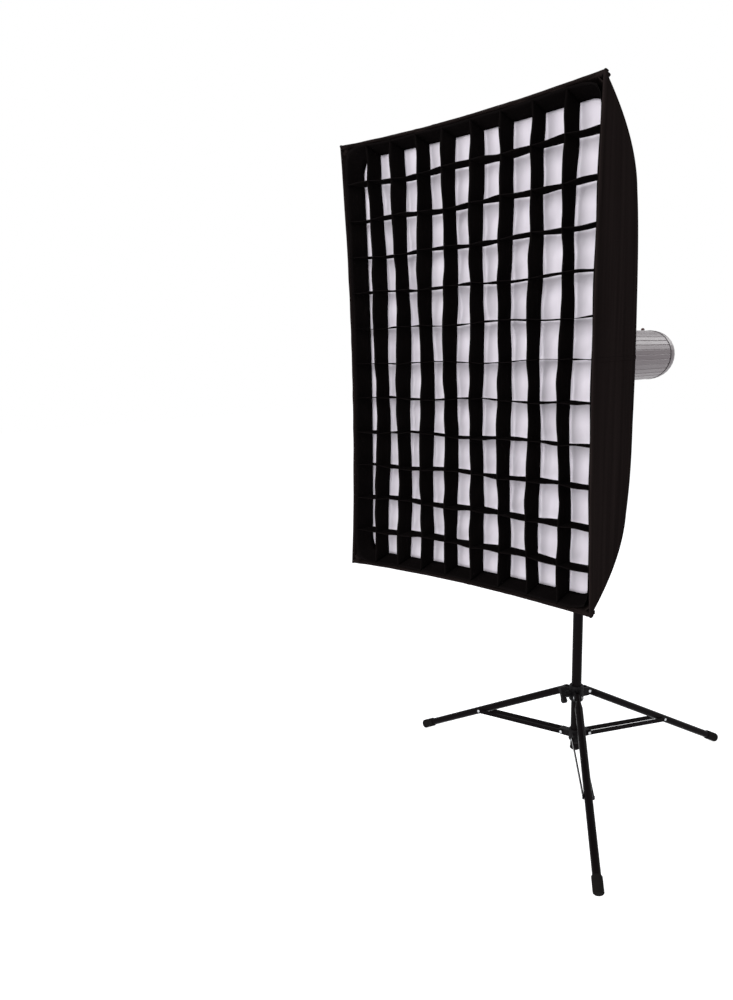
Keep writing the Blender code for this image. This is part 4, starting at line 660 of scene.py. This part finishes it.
def aluminised(name):
    """Crumpled silver film: metallic, with a 2.2 mm embossed grain and creases 90 mm apart."""
    material, tree, out = new_material(name)
    place = add_node(tree, "ShaderNodeTexCoord")
    grain = add_node(tree, "ShaderNodeTexVoronoi", {"feature": "F1"}, {"Scale": 1000.0 / 2.2},
                     {"Vector": place.outputs["Object"]})
    crease = add_node(tree, "ShaderNodeTexNoise", None,
                      {"Scale": 1000.0 / 90.0, "Detail": 5.0, "Roughness": 0.6, "Distortion": 1.2},
                      {"Vector": place.outputs["Object"]})
    fine = add_node(tree, "ShaderNodeBump", None, {"Strength": 0.35, "Distance": 0.0003},
                    {"Height": grain.outputs["Distance"]})
    relief = add_node(tree, "ShaderNodeBump", None, {"Strength": 0.6, "Distance": 0.006},
                      {"Height": crease.outputs["Fac"], "Normal": fine.outputs["Normal"]})
    # Painted shade and highlight: the film's colour follows the creases' height, darker in their
    # hollows and lighter on their rises.
    tone = add_node(tree, "ShaderNodeMix", {"data_type": "RGBA"},
                    {6: linear("#a79fa2"), 7: linear("#e4dfe1")}, {0: crease.outputs["Fac"]})
    shader = add_node(tree, "ShaderNodeBsdfPrincipled", None, {"Metallic": 0.85, "Roughness": 0.42},
                      {"Base Color": tone.outputs[2], "Normal": relief.outputs["Normal"]})
    tree.links.new(shader.outputs["BSDF"], out.inputs["Surface"])
    return material


def creases(points, seed):
    """Sharp folds in a film: the sum of nine ridged sine waves, 60 to 200 mm long."""
    chance = np.random.default_rng(seed)
    total = np.zeros(points.shape[:2])
    for _ in range(9):
        way = chance.normal(size=3)
        way /= np.linalg.norm(way)
        wave = points @ way * math.pi / chance.uniform(0.06, 0.20) + chance.uniform(0, math.tau)
        total += (1.0 - np.abs(np.sin(wave))) ** 4 * chance.uniform(0.3, 1.0)
    return total


# Aluminised film: a bright soft mirror, with painted shade and highlight: darker in the hollows of
# its crumples and lighter on their rises.
silver_film = aluminised("aluminised_film")
LIP_START = 1.0 - 0.085 / BOX_DEPTH         # depth at which the front band takes over
LINING_START = 0.0166                       # depth at which the lining meets the ring
LINING_GAP = 0.0022                         # from the panels' nominal form to the film
RIB_ROOM = 0.017                            # from a rib's middle to the film's edge
depth, share = np.meshgrid(LINING_START + (LIP_START - LINING_START)
                           * np.linspace(0.0, 1.0, 64) ** 1.8,
                           np.sin(np.linspace(-1.0, 1.0, 57) * math.pi / 2), indexing="ij")
for number, side in enumerate(("right", "top", "left", "bottom")):
    half = (BOX_WIDTH if side in ("top", "bottom") else BOX_HEIGHT) / 2 * section_scale(depth)
    half = np.maximum(half, 0.055)
    inner = share * (1.0 - (RIB_ROOM + 0.0025 * np.sin(depth * 40.0)) / half)
    inset = LINING_GAP + folds(depth, inner, PANEL_PHASE[side])
    # The crumples fade towards the ribs, the ring and the front band.
    faded = (1.0 - share ** 8) * np.clip((depth - 0.02) / 0.15, 0.0, 1.0) * np.clip(
        (LIP_START - depth) / 0.06, 0.0, 1.0)
    crumple = creases(panel_points(side, depth, inner, inset), 11 + number)
    inset = inset + 0.0016 * np.clip(crumple, 0.0, 2.5) * faded
    points = panel_points(side, depth, inner, inset)
    film = cloth_wall(grid_mesh(f"lining_{side}", points, silver_film, outward=box_middle), 0.0003)
    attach(film, "softbox")
    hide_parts("lining")


# ------------------------------------------------------------------ front band
# A strip of the shell's black cloth, sewn inside the front edge; a touch-fastening tape along its
# back holds the diffuser and the grid.

LIP_BACK, LIP_FRONT = LIP_START + 0.0007, 1.0 - 0.0035 / BOX_DEPTH
BAND_GAP = 0.0018               # from the panels' nominal form to the band
BAND_CORNER = 0.016             # from a rib's middle to where the band turns
lip_points = []
for row in np.linspace(LIP_BACK, LIP_FRONT, 12):
    loop = []
    for side, line in loop_stations(31):
        half = (BOX_WIDTH if side in ("top", "bottom") else BOX_HEIGHT) / 2 * section_scale(row)
        inner = line * (1.0 - BAND_CORNER / half)
        ripple = 0.0004 * np.sin(inner * 25.0 + 3.0 * row)
        loop.append(panel_points(side, np.full_like(inner, row), inner, BAND_GAP + ripple))
    lip_points.append(np.concatenate(loop))
band = cloth_wall(grid_mesh("front_band", np.stack(lip_points), black_nylon, wrap=True,
                            outward=box_middle), 0.0008)
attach(band, "softbox")
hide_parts("front_lip")


# ------------------------------------------------------------------ diffuser
# White translucent nylon with a lavender cast, fastened all round inside the front band.  It hangs
# nearly flat, with soft slanting folds between the edges and shallow drag lines at the corners.

def held_outline(y, s, t):
    """Point inside the front band at a given Y, for s across and t up, both -1..1.

    The outline is the panels' own, less the cloth of the band, and the corners draw in past the
    ribs.
    """
    depth = (RING_Y - y) / BOX_DEPTH
    room, draw = 0.0038, 0.010      # the band's cloth, and how fast a corner draws in
    half_x = np.where(s > 0, wall_reach("right", depth, t), wall_reach("left", depth, t)) - room
    top = wall_reach("top", depth, s) - room
    bottom = room - wall_reach("bottom", depth, s)
    corner = draw * np.maximum(0.0, np.abs(s) - 0.9) * np.maximum(0.0, np.abs(t) - 0.93) / 0.007
    x = s * half_x - np.sign(s) * corner
    z = bottom + (top - bottom) * (t + 1.0) / 2 - np.sign(t) * corner
    return column.x + x, AXIS_HEIGHT + z


# Diffusion nylon: a flat white that leans to lavender, with slow soft creases.
white_nylon = woven("white_diffusion_nylon", "#e0d9e3", "#ebe5ed", 0.82, 1.3, 0.05, 0.05, 0.20,
                    crease_mm=110.0)
GRID_FRONT = FRONT_Y + 0.004
GRID_BACK = GRID_FRONT + 0.045
DIFFUSER_Y = GRID_BACK + 0.0055
t, s = np.meshgrid(np.linspace(-1.0, 1.0, 121), np.linspace(-1.0, 1.0, 91), indexing="ij")
# Folds: slow sines across and up, and slack that hangs in slanting creases, each the fourth power
# of a sine so that its ridge is sharper than its valley.  All fade to nothing where the tape holds
# the edge; drag lines run in from each corner as short waves that die with distance from it.
across, climb = s * BOX_WIDTH / 2, t * BOX_HEIGHT / 2
fold = 0.0014 * np.sin(7.0 * s + 1.3 * t) + 0.0008 * np.sin(9.0 * t - 2.0 * s)
for height, spacing, slope, phase in ((0.0052, 0.088, 0.75, 0.4), (0.0036, 0.131, 0.50, 2.1),
                                      (0.0026, 0.053, 1.05, 4.0), (0.0026, 0.110, 0.15, 5.2)):
    wave = (across - slope * climb) / spacing + 0.35 * np.sin(9.0 * climb + phase) + phase
    fold += height * np.sin(math.pi * wave) ** 4 * (0.55 + 0.45 * np.sin(5.0 * t + 3.0 * s + phase))
fold = fold * (1.0 - s ** 8) * (1.0 - t ** 8)
for corner_s in (-1, 1):
    for corner_t in (-1, 1):
        away_s, away_t = (1 - corner_s * s) * 0.30, (1 - corner_t * t) * 0.45
        far = np.hypot(away_s, away_t)
        drag = np.sin(16.0 * np.arctan2(away_s, away_t))
        fold += 0.0012 * drag * np.exp(-far / 0.10) * (1 - np.exp(-far / 0.02))
x, z = held_outline(DIFFUSER_Y, s, t)
points = np.stack([x, DIFFUSER_Y + fold, z], axis=-1)
sheet = cloth_wall(grid_mesh("diffuser_cloth", points, white_nylon, outward=box_middle),
                   0.0005, 0.0)
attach(sheet, "diffuser")
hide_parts("diffuser")


# ------------------------------------------------------------------ fabric grid
# Black nylon webbing sewn into a lattice of deep cells: long uprights, crosspieces between them,
# and a band round the outside with touch fastener.  The strips are slack and wave as they cross.

GRID_COLUMNS, GRID_ROWS = 9, 12
WANDER, BOW = 0.0026, 0.0026    # how far a crossing strays, and a cell's side bows


def crossing(upright, level, back):
    """How far a crossing wanders sideways and up, at the grid's front (back 0) or back (back 1).

    Each way is a sine of the crossing's numbers; the ends of the strips stay in place.
    """
    phase = 1.1 * back
    inside = ((np.minimum(upright, GRID_COLUMNS - upright) > 0)
              & (np.minimum(level, GRID_ROWS - level) > 0))
    return (np.where(inside, WANDER * np.sin(2.1 * upright + 1.3 * level + phase), 0.0),
            np.where(inside, WANDER * np.sin(1.7 * upright + 2.3 * level + phase), 0.0))


def eased(values, position):
    """Smooth curve through a row of values at whole positions: cubic ease from each to the next."""
    low = np.clip(np.floor(position).astype(int), 0, len(values) - 2)
    part = position - low
    part = part * part * (3.0 - 2.0 * part)
    return values[low] * (1.0 - part) + values[low + 1] * part


def strip_points(number, upright):
    """One strip of the lattice as a grid of points, along it and from its front edge to its back.

    Its centre line passes through the wandered crossings; between them it bows sideways by a sine
    over each cell, more at the free front edge than at the back.  The strips stand square to the
    front, and their ends reach the band, which leans in with the walls.
    """
    cells = GRID_ROWS if upright else GRID_COLUMNS
    position = np.linspace(0.0, cells, cells * 10 + 1)
    levels = np.arange(cells + 1)
    rows = []
    for back in np.linspace(0.0, 1.0, 7):
        y = GRID_FRONT + (GRID_BACK - GRID_FRONT) * back
        other = np.full(cells + 1, number)
        ends = [crossing(other, levels, end) if upright else crossing(levels, other, end)
                for end in (0, 1)]
        wander_x = eased(ends[0][0] * (1 - back) + ends[1][0] * back, position)
        wander_z = eased(ends[0][1] * (1 - back) + ends[1][1] * back, position)
        cell = np.minimum(position.astype(int), cells - 1)
        turn = np.sin(7.3 * cell + 3.1 * number + 0.8 * back)
        bow = BOW * turn * np.sin(math.pi * (position - cell)) ** 2 * (1.0 - 0.55 * back)
        along = 2.0 * position / cells - 1
        if upright:
            place = np.full_like(position, 2.0 * number / GRID_COLUMNS - 1)
            x, z = held_outline(GRID_FRONT, place, along)[0], held_outline(y, place, along)[1]
            rows.append(np.stack([x + wander_x + bow, np.full_like(x, y), z], -1))
        else:
            place = np.full_like(position, 2.0 * number / GRID_ROWS - 1)
            x, z = held_outline(y, along, place)[0], held_outline(GRID_FRONT, along, place)[1]
            rows.append(np.stack([x, np.full_like(x, y), z + wander_z + bow * 0.8], -1))
    return np.stack(rows)


# Nylon webbing: a deep dull black with a coarse visible weave.
grid_webbing = woven("black_nylon_webbing", "#0c0a0a", "#151212", 0.66, 1.6, 0.14, 0.0, 0.0)
for kind, count, upright, length in (("uprights", GRID_COLUMNS, True, 0.88),
                                     ("crosspieces", GRID_ROWS, False, 0.58)):
    webs = [strip_points(number, upright) for number in range(1, count)]
    strips = joined([grid_mesh(f"{kind}_{number}", web, grid_webbing)
                     for number, web in enumerate(webs, start=1)], f"grid_{kind}")
    cloth_wall(strips, 0.0009, 0.0)
    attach(strips, "grid")
    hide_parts("grid")

# The band runs once round: s and t of the front band's outline along its four sides.
BAND_INSET = 0.0008
loop = np.concatenate([np.stack([np.full(40, 1.0), np.linspace(-1, 1, 41)[:-1]], -1),
                       np.stack([np.linspace(1, -1, 33)[:-1], np.full(32, 1.0)], -1),
                       np.stack([np.full(40, -1.0), np.linspace(1, -1, 41)[:-1]], -1),
                       np.stack([np.linspace(-1, 1, 33)[:-1], np.full(32, -1.0)], -1)])
band_rows = []
for back in np.linspace(0.0, 1.0, 7):
    y = GRID_FRONT + (GRID_BACK - GRID_FRONT) * back
    x, z = held_outline(y, loop[:, 0] * 0.9985, loop[:, 1] * 0.999)
    ripple = 0.0008 * np.sin(np.arange(len(loop)) * 0.8 + 2.0 * back) * (1.0 - back)
    inwards = -np.sign(loop) * (np.abs(loop) > 0.99) * (BAND_INSET + ripple)[:, None]
    band_rows.append(np.stack([x + inwards[:, 0], np.full_like(x, y), z + inwards[:, 1]], -1))
grid_band = cloth_wall(grid_mesh("grid_band", np.stack(band_rows), grid_webbing, wrap=True,
                                 outward=box_middle), 0.0010)
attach(grid_band, "grid")
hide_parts("grid")
